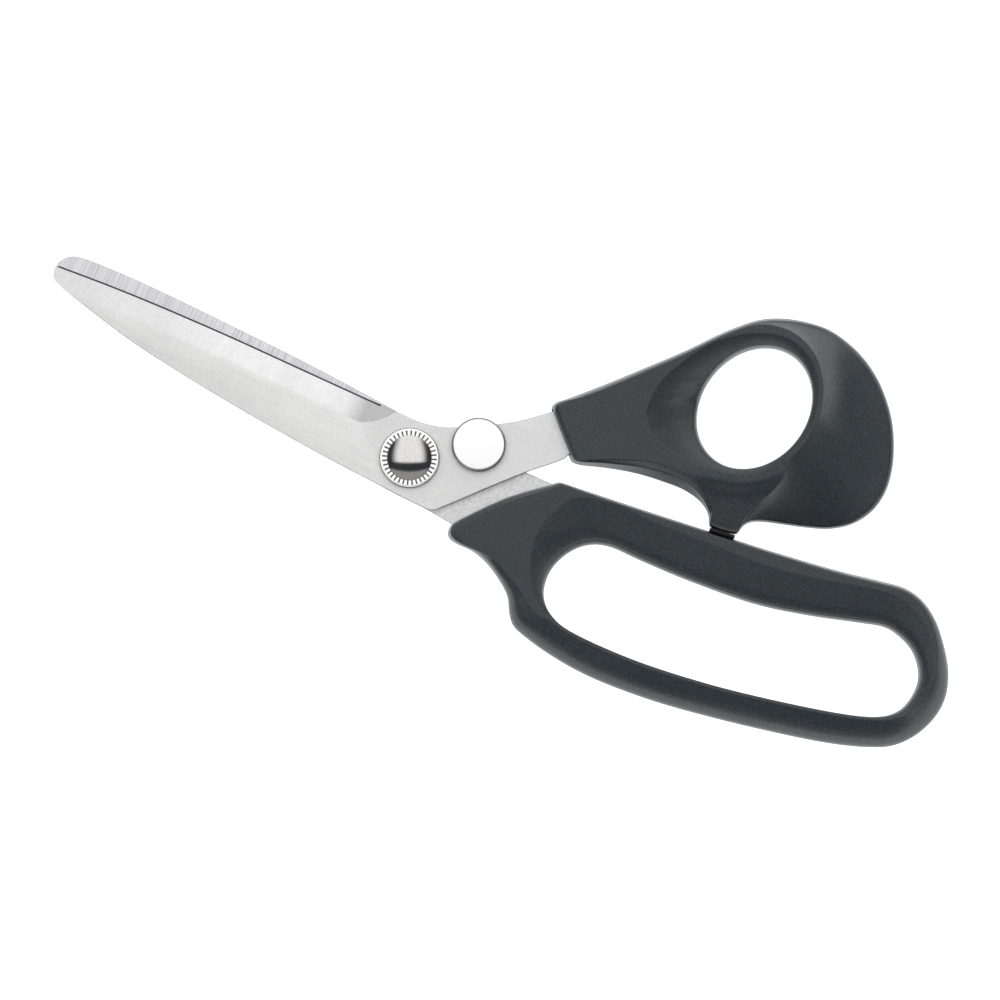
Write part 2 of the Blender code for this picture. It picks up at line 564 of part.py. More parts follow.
def make_guide(parts, steel):
    low, high = GUIDE_DISC
    shank, spigot, edge = GUIDE_SHANK_RADIUS, GUIDE_SPIGOT_RADIUS, GUIDE_DISC_EDGE
    under_disc = BACK_DISC[0] - GAP
    spread = [spigot + out for out in SPIGOT_SPREAD]
    profile = [(0, high), (GUIDE_DISC_RADIUS - edge, high), (GUIDE_DISC_RADIUS, high - edge),
               (GUIDE_DISC_RADIUS, low), (shank, low), (shank, REAR_BLADE[0]), (spigot, REAR_BLADE[0]),
               (spigot, under_disc), (spread[0], under_disc), (spread[1], GUIDE_SPIGOT_END),
               (0, GUIDE_SPIGOT_END)]
    rivet = turned("guide_rivet", profile, parts, centre=GUIDE_XY)
    back = ring("guide_back_disc", spigot + GAP, BACK_DISC_RADIUS, *BACK_DISC, parts, centre=GUIDE_XY)
    for piece in (rivet, back):
        piece.data.materials.append(steel)
    return rivet, back


def tang_pocket(name, outline, blade, group):
    """The slot in a handle that holds a blade's tang with a gap all round."""
    low, high = blade
    return plate(name, outline, low - GAP, high + GAP, group)


def make_handles(parts, cutters, plastic, rubber):
    counts = (3, 1, 3, 2, 1)    # columns over the scoop, face, flank, each rolled edge and the back
    mesh = handle_mesh("thumb_handle", THUMB_OUTLINE, THUMB_PROFILE, thumb_hole, 360, HANDLE_STEP, counts)
    thumb = link(bpy.data.objects.new("thumb_handle", mesh), parts)
    cut(thumb, tang_pocket("thumb_tang_pocket", THUMB_POCKET, FRONT_BLADE, cutters))

    count = len(FINGER_HOLE)
    hole = closed_curve(range(count), FINGER_HOLE, count)
    mesh = handle_mesh("finger_handle", FINGER_OUTLINE, FINGER_PROFILE, hole, count, HANDLE_STEP, counts)
    finger = link(bpy.data.objects.new("finger_handle", mesh), parts)
    cut(finger, tang_pocket("finger_tang_pocket", FINGER_POCKET, REAR_BLADE, cutters))

    # The soft stop's root sits in a slot in the post's end, and its slab lies across the end.
    pad = box("stop_pad", PAD_SLAB, (*PAD_XY, PARTING_HEIGHT), parts)
    root_centre = (PAD_XY[0] - math.sin(PAD_LEAN) * PAD_ROOT[1] / 2,
                   PAD_XY[1] + math.cos(PAD_LEAN) * PAD_ROOT[1] / 2, PARTING_HEIGHT)
    root = box("stop_pad_root", PAD_ROOT, root_centre, cutters)
    slot = box("stop_pad_slot", [size + 2 * GAP for size in PAD_ROOT], root_centre, cutters)
    for piece in (pad, root, slot):
        piece.rotation_euler.z = PAD_LEAN
    boolean(pad, as_cutter(root), "UNION")
    cut(thumb, slot)
    for piece, finish in ((thumb, plastic), (finger, plastic), (pad, rubber)):
        piece.data.materials.append(finish)
    for piece in (thumb, finger):
        smooth(piece, 40)
    return thumb, finger, pad


def body(name, parts, pieces):
    """An empty on the pivot axis that carries the pieces of one moving body."""
    empty = link(bpy.data.objects.new(name, None), parts)
    for piece in pieces:
        piece.parent = empty


def build():
    for obj in list(bpy.data.objects):
        bpy.data.objects.remove(obj)
    parts = collection(SHEARS)
    cutters = collection("cutters")
    steel = material("blade_steel", (0.70, 0.70, 0.71), 0.32, 1.0)
    bright = material("polished_steel", (0.82, 0.82, 0.83), 0.12, 1.0)
    hardware = material("plain_steel", (0.60, 0.60, 0.61), 0.35, 1.0)
    bronze = material("bush_bronze", (0.55, 0.38, 0.18), 0.35, 1.0)
    fibre = material("washer_nylon", (0.75, 0.74, 0.70), 0.5, 0.0)
    plastic = material("handle_plastic", (0.018, 0.021, 0.023), 0.42, 0.0)
    rubber = material("stop_rubber", (0.012, 0.012, 0.012), 0.7, 0.0)

    front, rear = make_blades(parts, cutters, steel)
    bolt, spring, washer, bush, dial, nut, cap = make_pivot(parts, cutters, hardware, bright, bronze, fibre)
    rivet, back = make_guide(parts, bright)
    thumb, finger, pad = make_handles(parts, cutters, plastic, rubber)

    body("finger_half", parts, (rear, finger, bolt, spring, washer))
    body("thumb_half", parts, (front, thumb, bush, rivet, back, pad))
    body("tension_dial", parts, (nut, cap, dial))


build()
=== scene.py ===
"""Looks of the bent-handle shears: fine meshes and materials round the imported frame.

Frame: origin on the pivot axis at the resting plane, +X from the tips to the handles along the
closed cutting edge, +Y towards the thumb handle, +Z out of the front face. Lengths are in
millimetres and are scaled by MM where a mesh is written.
"""
import json
import math

import bmesh
import bpy
import numpy as np
from mathutils import Matrix, Vector


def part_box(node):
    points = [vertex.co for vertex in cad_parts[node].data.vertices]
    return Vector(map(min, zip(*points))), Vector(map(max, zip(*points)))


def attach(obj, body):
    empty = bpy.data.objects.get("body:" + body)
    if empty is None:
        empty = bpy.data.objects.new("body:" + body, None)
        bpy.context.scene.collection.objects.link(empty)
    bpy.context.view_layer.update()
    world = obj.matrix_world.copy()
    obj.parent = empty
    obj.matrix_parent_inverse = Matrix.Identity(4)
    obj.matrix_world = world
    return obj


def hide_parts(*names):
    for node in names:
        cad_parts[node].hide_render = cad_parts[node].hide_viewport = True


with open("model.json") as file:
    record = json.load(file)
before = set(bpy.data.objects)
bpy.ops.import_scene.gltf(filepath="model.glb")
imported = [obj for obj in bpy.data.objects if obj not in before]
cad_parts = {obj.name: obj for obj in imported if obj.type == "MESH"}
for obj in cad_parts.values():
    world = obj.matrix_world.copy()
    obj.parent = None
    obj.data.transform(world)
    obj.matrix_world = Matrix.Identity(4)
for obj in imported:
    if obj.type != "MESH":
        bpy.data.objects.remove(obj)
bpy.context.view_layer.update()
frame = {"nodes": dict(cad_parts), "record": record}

MM = 0.001
BODY_OF = {node: body for body, nodes in frame["record"]["behaviour"]["bodies"].items() for node in nodes}


def heights(node):
    """Lowest and highest point of a CAD node, in millimetres."""
    low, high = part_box(node)
    return low.z / MM, high.z / MM


def radius(node):
    """Radius of a round CAD node, in millimetres."""
    low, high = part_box(node)
    return (high.x - low.x) / 2 / MM


def centre(node):
    """Middle of a CAD node seen from above, in millimetres."""
    low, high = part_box(node)
    return (low.x + high.x) / 2 / MM, (low.y + high.y) / 2 / MM


# ---- dimensions
GAP = 0.3
REAR_LOW, REAR_HIGH = heights("rear_blade")
FRONT_LOW, FRONT_HIGH = heights("front_blade")
HANDLE_TOP = 12.7
PARTING = 6.3           # plane where the two halves of the mould meet
BORE = 3.3              # radius of the holes that clear the pivot bolt's shank
GUIDE_XY = centre("guide_back_disc")
GUIDE_SHANK = 2.5       # radius of the guide rivet between its discs
GUIDE_PIN = 1.5         # and where its back disc is pressed on
COUNTERBORE = 0.5       # depth of the blades' recesses for the washer between them

BEVEL_WIDTH = 6.0
BEVEL_DEPTH = 2.1
BEVEL_BLEND = 0.7       # half the width over which the flat face turns into the bevel
HONED_WIDTH = 0.55      # the steep honed strip along the cutting edge
HONED_END = -12.0
WHEEL_RADIUS = 17.0
WHEEL_DEPTH = 4.0       # how far the wheel's space goes on above the blade's face
BEVEL_END = -16.0       # where the grinding wheel starts to leave the blade
RUN_OUT = 9.4           # length over which it leaves
EDGE_ROUND = 0.12

TOOTH_COUNT = 36
TOOTH_RING = (5.45, 6.93)   # the radii between which the dial's grooves run
TOOTH_DEPTH = 0.75
DIAL_FLANGE = 11.3      # height of the dial's grooved top
CAP_SPHERE = 11.4       # radius of the cap's dome
CAP_WALL = 0.75
DISC_LOW = 9.4          # underside of the guide rivet's disc
DISC_SHADE_TILT = 0.9     # the disc's faces that are steeper than this are painted dark: painted shade round the disc's edge
BOLT_HEAD_TOP = 2.4

KNEE_BEND = 0.8         # how much of the shorter side of a scoop's knee its bend takes
BACK_INSET = 0.4        # how far a handle's flat back stops short of its outline
EDGE_BLEND = 0.2        # how far a crease or ridge on a handle is rounded
STEP_WIDTH = 4.0        # length over which the top dips towards the post
POST_SLOPE = 0.12       # how the post's face goes on falling, for each unit of the dip
FLANK_STRAIGHT = 0.62   # the part of a flank's fall that is even

# Thumb handle: hole, and outline as x, y and the angle on the hole that each point is tied to.
THUMB_HOLE = {"centre": (74.9, 47.2), "half_sizes": (13.4, 16.4), "turn": -13.6}
THUMB_OUTLINE = [
    (27.6, 26.5, 188), (28.7, 25.0, 190), (36.8, 16.9, 201), (37.8, 16.0, 203), (39.4, 15.9, 205),
    (46.6, 18.1, 213), (54.0, 19.9, 223), (61.3, 20.8, 236), (67.3, 21.0, 248), (72.4, 19.8, 258),
    (75.3, 17.6, 263), (76.2, 15.7, 266), (76.7, 15.1, 267), (83.2, 15.9, 277), (83.9, 16.4, 278),
    (84.3, 18.6, 284), (85.8, 20.5, 290), (88.6, 21.8, 298), (94.0, 23.4, 309), (99.4, 25.0, 318),
    (105.0, 27.2, 327), (109.8, 30.8, 336), (112.9, 35.7, 344), (114.0, 41.6, 352), (113.2, 47.5, 361),
    (111.2, 53.1, 370), (108.4, 58.4, 380), (104.7, 63.1, 390), (100.4, 67.1, 401), (95.3, 70.3, 412),
    (89.8, 72.4, 424), (83.9, 73.4, 437), (78.0, 72.8, 450), (72.3, 71.2, 463), (66.9, 68.4, 476),
    (60.4, 62.4, 490), (52.7, 53.4, 505), (44.6, 44.7, 519), (36.4, 36.1, 533), (30.0, 29.8, 543),
    (28.2, 28.2, 546),
]
# Thumb handle section by angle on the hole. Distances run outwards from the hole's edge.
THUMB_PROFILE = {
    "hole_parting": [(180, 3), (230, 3.6), (270, 5), (310, PARTING), (360, 8), (450, 5.6), (505, 3.6)],
    # The scoop falls from its crease at one slope, then from its knee at a steeper one, and rolls
    # over into the hole.
    "scoop_roll": [
        (180, 1.5), (226, 1.3), (249, 0.9), (268, 0.6), (285, 0.3), (320, 0.2), (400, 0.2), (430, 0.5),
        (463, 1), (490, 1.3), (520, 1.5)],
    "knee": [
        (188, 8.8), (196, 9.6), (204, 9), (213, 7.7), (226, 5.9), (237, 4.3), (249, 2.8), (268, 1.5),
        (285, 0.8), (320, 0.5), (400, 0.5), (430, 1.1), (463, 2.6), (484, 3.1), (491, 3.4), (501, 4.9),
        (513, 6.6), (531, 8.2)],
    "crease": [
        (188, 13.2), (196, 14.3), (204, 13.5), (213, 11.7), (226, 8.9), (237, 6.4), (249, 4.1),
        (258, 2.9), (268, 2.1), (280, 1.6), (320, 1.4), (345, 1.2), (390, 1.5), (412, 2.1), (436, 2.9),
        (463, 3.8), (484, 4.3), (491, 5), (501, 7.3), (513, 10.1), (531, 12.5)],
    "scoop_slope": [
        (180, 18), (213, 21), (226, 21), (249, 22), (280, 24), (320, 26), (400, 22), (450, 18),
        (484, 17), (497, 15), (513, 14), (531, 16)],
    "knee_slope": [
        (180, 24.5), (213, 33), (226, 34), (249, 36), (268, 40), (320, 34), (400, 34), (440, 36),
        (463, 34), (484, 31), (501, 26), (513, 22), (531, 21.5)],
    "crease_height": [
        (180, HANDLE_TOP), (290, HANDLE_TOP), (340, 13.9), (420, 13.9), (500, HANDLE_TOP)],
    # A soft step down to the post: how far from the hole it lies, and its depth.
    "step_at": [(180, 9), (246, 8.4), (258, 6.4), (270, 5.6), (300, 5.2), (330, 5.2)],
    "step": [(180, 0), (238, 0), (252, 0.7), (266, 1.1), (292, 1), (312, 0.5), (328, 0)],
    # How far the top reaches from the crease to the outer shoulder, 0 to 1.
    "face": [
        (180, 0.97), (278, 0.98), (285, 0.93), (291, 0.76), (298, 0.62), (304, 0.49), (309, 0.38),
        (315, 0.25), (322, 0.12), (332, 0.04), (364, 0.04), (388, 0.06), (412, 0.09), (424, 0.14),
        (436, 0.21), (447, 0.34), (459, 0.54), (472, 0.78), (480, 0.94), (490, 0.97)],
    "shoulder_height": [
        (180, 12.4), (246, 12.4), (256, 11.2), (263, 10.5), (280, 10.5), (286, 9.8), (292, 9),
        (304, 8.3), (333, 7.2), (364, 5.6), (388, 6.4), (412, 7), (436, 6.8), (447, 8), (459, 10),
        (472, 12), (480, 12.4)],
    # How hollow the flank is: 1 is straight.
    "hollow": [
        (180, 1), (276, 1), (290, 2.4), (310, 2.2), (333, 1.6), (364, 1.8), (388, 3.6), (412, 3.3),
        (436, 2.1), (459, 1.6), (480, 1)],
    # Rolled or drafted outer edge: its width, how much of that is the drafted wall, and how much
    # of the wall's height the roll takes.
    "shoulder": [
        (180, 1.1), (203, 1.1), (213, 2.2), (223, 3.3), (236, 3.7), (246, 3.4), (254, 2.4), (262, 0.9),
        (280, 0.6), (288, 0.8), (300, 1.1), (320, 1.4), (440, 1.3), (463, 1.2), (500, 1.1)],
    "draft": [
        (180, 0.7), (203, 0.7), (213, 1.1), (223, 1.8), (236, 2.3), (246, 2.1), (254, 1.5), (262, 0.4),
        (280, 0.25), (300, 0.5), (320, 0.4), (440, 0.5), (463, 0.8), (500, 0.7)],
    "drop": [(180, 0.07), (284, 0.07), (320, 0.3), (412, 0.3), (463, 0.1), (484, 0.07)],
    "outer_parting": [
        (180, PARTING), (290, PARTING), (330, 4.6), (360, 3.6), (400, 3.6), (440, 4.4), (480, PARTING)],
    "back_hole_roll": [(180, 2), (270, 3), (360, 9), (450, 3)],
    "back_outer_roll": [(180, 1.2), (284, 1.2), (320, 4), (360, 6), (420, 4), (484, 1.2)],
    "back_drop": [(180, 0.12), (284, 0.12), (310, 0.88), (440, 0.88), (484, 0.12)],
}
THUMB_POCKET = [(24.0, 23.0), (29.8, 27.4), (44.5, 39.1), (50.3, 32.2), (37.8, 18.7), (34.0, 14.0)]

# Finger loop: hole, anticlockwise from its left end, and outline tied to places on that list.
FINGER_HOLE = [
    (44.3, -12.2), (45.4, -18.1), (49.7, -22.1), (57.0, -23.7), (73.4, -23.6), (92.0, -21.6),
    (109.0, -18.6), (126.0, -14.8), (135.1, -11.7), (139.6, -7.8), (141.1, -2.2), (140.2, 2.5),
    (136.9, 6.7), (132.5, 9.0), (127.5, 9.8), (120.8, 8.1), (108.0, 4.5), (94.5, 1.7),
    (78.0, 0.4), (64.6, 0.1), (55.6, 0.1), (50.0, -2.0), (46.1, -6.5),
]
FINGER_OUTLINE = [
    (37.0, 9.9, 21.2), (35.6, 8.6, 21.35), (31.1, 4.9, 21.6), (26.6, 0.9, 21.9), (22.5, -3.5, 22.2),
    (18.7, -8.1, 22.5), (16.8, -10.6, 22.7), (16.3, -12.4, 22.8), (17.2, -14.4, 22.95),
    (19.6, -15.0, 23.1), (23.7, -15.0, 23.25), (28.0, -16.1, 23.45), (33.0, -18.8, 23.7),
    (37.0, -22.0, 24.0), (39.0, -25.5, 24.3), (41.2, -28.1, 24.6), (45.5, -29.6, 25.0),
    (53.5, -31.2, 25.7), (64.0, -32.1, 26.4), (80.2, -31.3, 27.4), (97.0, -28.9, 28.3),
    (115.5, -25.4, 29.3), (127.1, -22.7, 29.95), (135.6, -19.9, 30.6), (141.6, -16.9, 31.2),
    (146.0, -12.0, 31.9), (148.7, -5.5, 32.5), (149.0, 0.0, 33.1), (147.2, 5.8, 33.9),
    (143.5, 11.5, 34.7), (138.5, 17.0, 35.5), (133.5, 20.1, 36.2), (128.5, 21.1, 36.8),
    (122.0, 20.2, 37.7), (111.5, 18.3, 38.7), (93.9, 15.9, 40.0), (79.5, 14.3, 40.9),
    (62.3, 12.5, 42.2), (50.3, 11.3, 43.3), (42.0, 10.5, 43.9), (38.6, 10.2, 44.1),
]
# Finger loop section, by place on the hole's list.
FINGER_PROFILE = {
    "hole_parting": [(21.5, PARTING)],
    "scoop_roll": [
        (21.5, 1.8), (23, 1.6), (23.6, 1), (24.2, 0.4), (25, 0.15), (30.5, 0.15), (32, 0.7), (33, 0.9),
        (35, 1.2), (38, 1.2), (43.5, 1.5)],
    "knee": [
        (21.5, 4), (22.6, 3.2), (23.3, 2.3), (24, 1.3), (24.6, 0.7), (25.2, 0.35), (30.6, 0.35),
        (31.5, 0.8), (32.2, 1.3), (33, 1.7), (35, 2.3), (43, 2.5)],
    "crease": [
        (21.55, 10.6), (21.9, 9.2), (22.23, 8.2), (22.6, 6.6), (22.95, 5.4), (23.3, 4.5), (23.65, 3.5),
        (24, 2.5), (24.35, 1.8), (24.7, 1.2), (25.2, 0.7), (30.6, 0.7), (31.5, 1.3), (32.4, 2.6),
        (33, 3.2), (34, 3.6), (35, 5.4), (36, 7.4), (37, 8.3), (38.7, 9.6), (40, 10.2), (41, 10.6),
        (42.2, 10.2), (43, 10.6), (43.5, 11.2), (44, 12.3)],
    "scoop_slope": [
        (21.5, 10), (22.2, 17), (22.8, 24), (24, 24), (24.6, 15), (31, 15), (32, 20), (33.2, 22),
        (34.5, 14), (36, 9), (43, 9)],
    "knee_slope": [(21.5, 26), (23, 32), (31, 32), (33, 34), (36, 25), (43, 25)],
    "crease_height": [(21.5, HANDLE_TOP), (25, 12.5), (31, 12.5), (36, HANDLE_TOP)],
    "step_at": [(21.5, 0)],
    "step": [(21.5, 0)],
    "face": [
        (21.5, 0.97), (23.2, 0.9), (24.3, 0.5), (25.5, 0.1), (32, 0.1), (33.2, 0.2), (34.2, 0.8),
        (36, 0.96)],
    "shoulder_height": [(21.5, 12.5), (23.2, 12.4), (25, 12), (31, 12), (33, 12.3), (36, 12.5)],
    "hollow": [(21.5, 1)],
    "shoulder": [
        (21.5, 1.1), (22.8, 1.1), (23.5, 1.3), (24, 2.4), (24.6, 3.8), (25.5, 4.8), (30, 5), (32, 4.8),
        (33.2, 4), (34.2, 2.4), (35, 1.4), (36.5, 1.1), (43, 1.1)],
    "draft": [(21.5, 0.6), (22.8, 0.6), (23.5, 0.5), (24.4, 0), (34, 0), (36.5, 0.7), (43, 0.7)],
    "drop": [(21.5, 0.07), (22.8, 0.07), (23.5, 0.2), (24.6, 0.88), (34, 0.88), (36.5, 0.07)],
    "outer_parting": [(21.5, PARTING)],
    "back_hole_roll": [(21.5, 3), (25, 2.6), (33, 3.4), (40, 3)],
    "back_outer_roll": [(21.5, 1.2), (23, 1.6), (25, 3.4), (31, 3.4), (36, 1.4)],
    "back_drop": [(21.5, 0.12), (22.4, 0.12), (23.2, 0.88), (34, 0.88), (36.5, 0.12)],
}
FINGER_POCKET = [(30.0, 9.3), (36.2, 9.2), (39.2, 7.8), (57.4, 7.2), (57.4, 3.0), (46.2, 1.8),
                 (36.8, -4.4), (29.2, -10.9), (21.0, -11.9), (12.0, -11.4)]

# Blade outlines. Curved stretches run smoothly through their points.
FRONT_EDGE = [(-101.3, 8.6), (-89.3, 9.3), (-75.0, 9.8), (-55.0, 10.0), (-35.0, 9.8), (-7.6, 9.5)]
FRONT_TOP = [(-7.6, 9.5), (-1.6, 9.5), (4.3, 10.6), (10.6, 13.5), (17.4, 17.3), (22.6, 20.8),
             (27.4, 24.8)]
FRONT_TANG = [(30.0, 26.9), (44.5, 38.6), (49.8, 32.2), (37.4, 19.0)]
FRONT_UNDER_TANG = [(36.0, 15.9), (33.4, 13.3), (28.4, 8.7), (22.0, 2.1), (15.8, -4.6)]
FRONT_HEEL = [(15.8, -4.6), (12.6, -8.0), (11.0, -9.5), (8.9, -10.0)]
FRONT_SPINE = [(8.9, -10.0), (-0.2, -9.6), (-21.1, -8.3), (-47.9, -5.7), (-74.5, -2.0), (-92.0, 2.0),
               (-98.8, 3.8), (-101.2, 5.0), (-102.2, 7.0)]
REAR_SPINE = [(-102.2, 7.4), (-101.6, 9.8), (-99.8, 11.8), (-96.4, 12.8), (-88.0, 13.2), (-76.0, 13.2),
              (-58.0, 12.6), (-34.0, 11.6), (-10.5, 9.9), (-7.4, 9.4), (-1.6, 9.2), (8.0, 8.9)]
REAR_TANG = [(36.0, 8.8), (39.0, 7.4), (57.0, 6.8), (57.0, 3.4), (46.0, 2.2), (36.5, -4.0),
             (29.0, -10.4), (21.0, -11.4)]
REAR_UNDER = [(16.6, -10.9), (8.9, -10.1), (-0.2, -9.7), (-10.0, -8.9)]
REAR_EDGE = [(-10.0, -8.9), (-21.0, -7.2), (-38.9, -4.2), (-56.8, -1.6), (-74.5, 1.3), (-92.0, 5.2),
             (-101.0, 7.0)]

# Soft stop under the thumb handle's post.
PAD_XY = (80.25, 14.85)
PAD_LEAN = math.atan2(0.8, 6.5)
PAD_SLAB = (6.6, 0.8, 9.0)
PAD_ROOT = (3.6, 2.6, 6.0)
PAD_ROOT_XY = (PAD_XY[0] - math.sin(PAD_LEAN) * PAD_ROOT[1] / 2,
               PAD_XY[1] + math.cos(PAD_LEAN) * PAD_ROOT[1] / 2)


# ---- mesh helpers
def smooth(obj, angle=35):
    obj.data.shade_smooth()
    obj.data.set_sharp_from_angle(angle=math.radians(angle))
    return obj


def new_object(name, vertices, faces):
    """An object from points in millimetres, with its faces turned outwards."""
    mesh = bpy.data.meshes.new(name)
    mesh.from_pydata((np.array(vertices, float) * MM).tolist(), [], faces)
    shape = bmesh.new()
    shape.from_mesh(mesh)
    bmesh.ops.recalc_face_normals(shape, faces=shape.faces)
    shape.to_mesh(mesh)
    shape.free()
    obj = bpy.data.objects.new(name, mesh)
    bpy.context.scene.collection.objects.link(obj)
    return obj


def tube_faces(rows, across, closed, looped=True):
    """Quads of a grid: closed joins the last row to the first, looped each row's end to its start."""
    faces = []
    for i in range(rows if closed else rows - 1):
        following = (i + 1) % rows
        for j in range(across if looped else across - 1):
            beside = (j + 1) % across
            faces.append((i * across + j, i * across + beside, following * across + beside,
                          following * across + j))
    return faces


def capped_faces(rows, across):
    """The faces of a closed solid: the quads between its rows, and its first and last row."""
    last = (rows - 1) * across
    ends = [tuple(range(across)), tuple(range(last, last + across))]
    return tube_faces(rows, across, closed=False) + ends


def applied(obj):
    """Makes obj's modifiers part of its mesh, and removes the cutters they used."""
    cutters = [m.object for m in obj.modifiers if m.type == "BOOLEAN"]
    bpy.context.view_layer.update()
    evaluated = obj.evaluated_get(bpy.context.evaluated_depsgraph_get())
    mesh = bpy.data.meshes.new_from_object(evaluated)
    if not mesh.polygons:
        raise RuntimeError(obj.name + " came out empty")
    obj.modifiers.clear()
    obj.data = mesh
    for cutter in cutters:
        bpy.data.objects.remove(cutter)
    return obj


def boolean(obj, other, operation="DIFFERENCE"):
    """Cuts other out of obj, or joins it on, when obj's modifiers are applied."""
    modifier = obj.modifiers.new(other.name, "BOOLEAN")
    modifier.operation = operation
    modifier.object = other
    modifier.solver = "EXACT"


def spline(points, steps=10):
    """Points along a Catmull-Rom curve through a short list of points."""
    anchors = np.array(points, float)
    ends = np.vstack([2 * anchors[0] - anchors[1], anchors, 2 * anchors[-1] - anchors[-2]])
    out = []
    for a, b, c, d in zip(ends, ends[1:], ends[2:], ends[3:]):
        for k in range(steps):
            t = k / steps
            cubic = (3 * b - a - 3 * c + d) * t ** 3
            out.append(0.5 * (2 * b + (c - a) * t + (2 * a - 5 * b + 4 * c - d) * t ** 2 + cubic))
    out.append(anchors[-1])
    return [tuple(p) for p in out]


def closed_curve(knots, values, period, gain=0.0, limited=False):
    """A smooth periodic function through values at knots; gain is what one turn adds."""
    knots = np.array(knots, float)
    values = np.array(values, float).reshape(len(knots), -1)
    gaps = np.append(knots[1:], knots[0] + period) - knots
    following = np.vstack([values[1:], values[:1] + gain])
    rise = (following - values) / gaps[:, None]
    before = np.roll(rise, 1, axis=0)
    weight = np.roll(gaps, 1)[:, None] / (np.roll(gaps, 1) + gaps)[:, None]
    slope = before * (1 - weight) + rise * weight
    if limited:
        total = np.where(before * rise > 0, before + rise, 1.0)
        slope = np.where(before * rise > 0, 2 * before * rise / total, 0.0)

    def at(t):
        t = (np.asarray(t, float) - knots[0]) % period + knots[0]
        i = np.clip(np.searchsorted(knots, t, side="right") - 1, 0, len(knots) - 1)
        h = gaps[i][:, None]
        u = (t - knots[i])[:, None] / h
        end_slope = np.roll(slope, -1, axis=0)[i]
        start = (2 * u ** 3 - 3 * u ** 2 + 1) * values[i] + (u ** 3 - 2 * u ** 2 + u) * h * slope[i]
        finish = (3 * u ** 2 - 2 * u ** 3) * following[i] + (u ** 3 - u ** 2) * h * end_slope
        return start + finish
    return at


def blend_points(start, corner, end, count):
    """A curve that leaves start towards corner and reaches end from it. The end is left out."""
    out = []
    for k in range(count):
        t = k / count
        out.append(tuple((1 - t) ** 2 * a + 2 * t * (1 - t) * b + t * t * c
                         for a, b, c in zip(start, corner, end)))
    return out


def line_points(start, end, shares):
    """Points on a straight line, at shares of its length."""
    return [tuple(a + (b - a) * t for a, b in zip(start, end)) for t in shares]


# ---- handles
def thumb_hole(angles):
    """Points on the thumb hole, a turned ellipse, at angles in degrees about its centre."""
    turn = math.radians(THUMB_HOLE["turn"])
    a, b = THUMB_HOLE["half_sizes"]
    local = np.radians(angles) - turn
    reach = a * b / np.hypot(b * np.cos(local), a * np.sin(local))
    direction = np.stack([np.cos(np.radians(angles)), np.sin(np.radians(angles))], axis=1)
    return np.array(THUMB_HOLE["centre"]) + reach[:, None] * direction


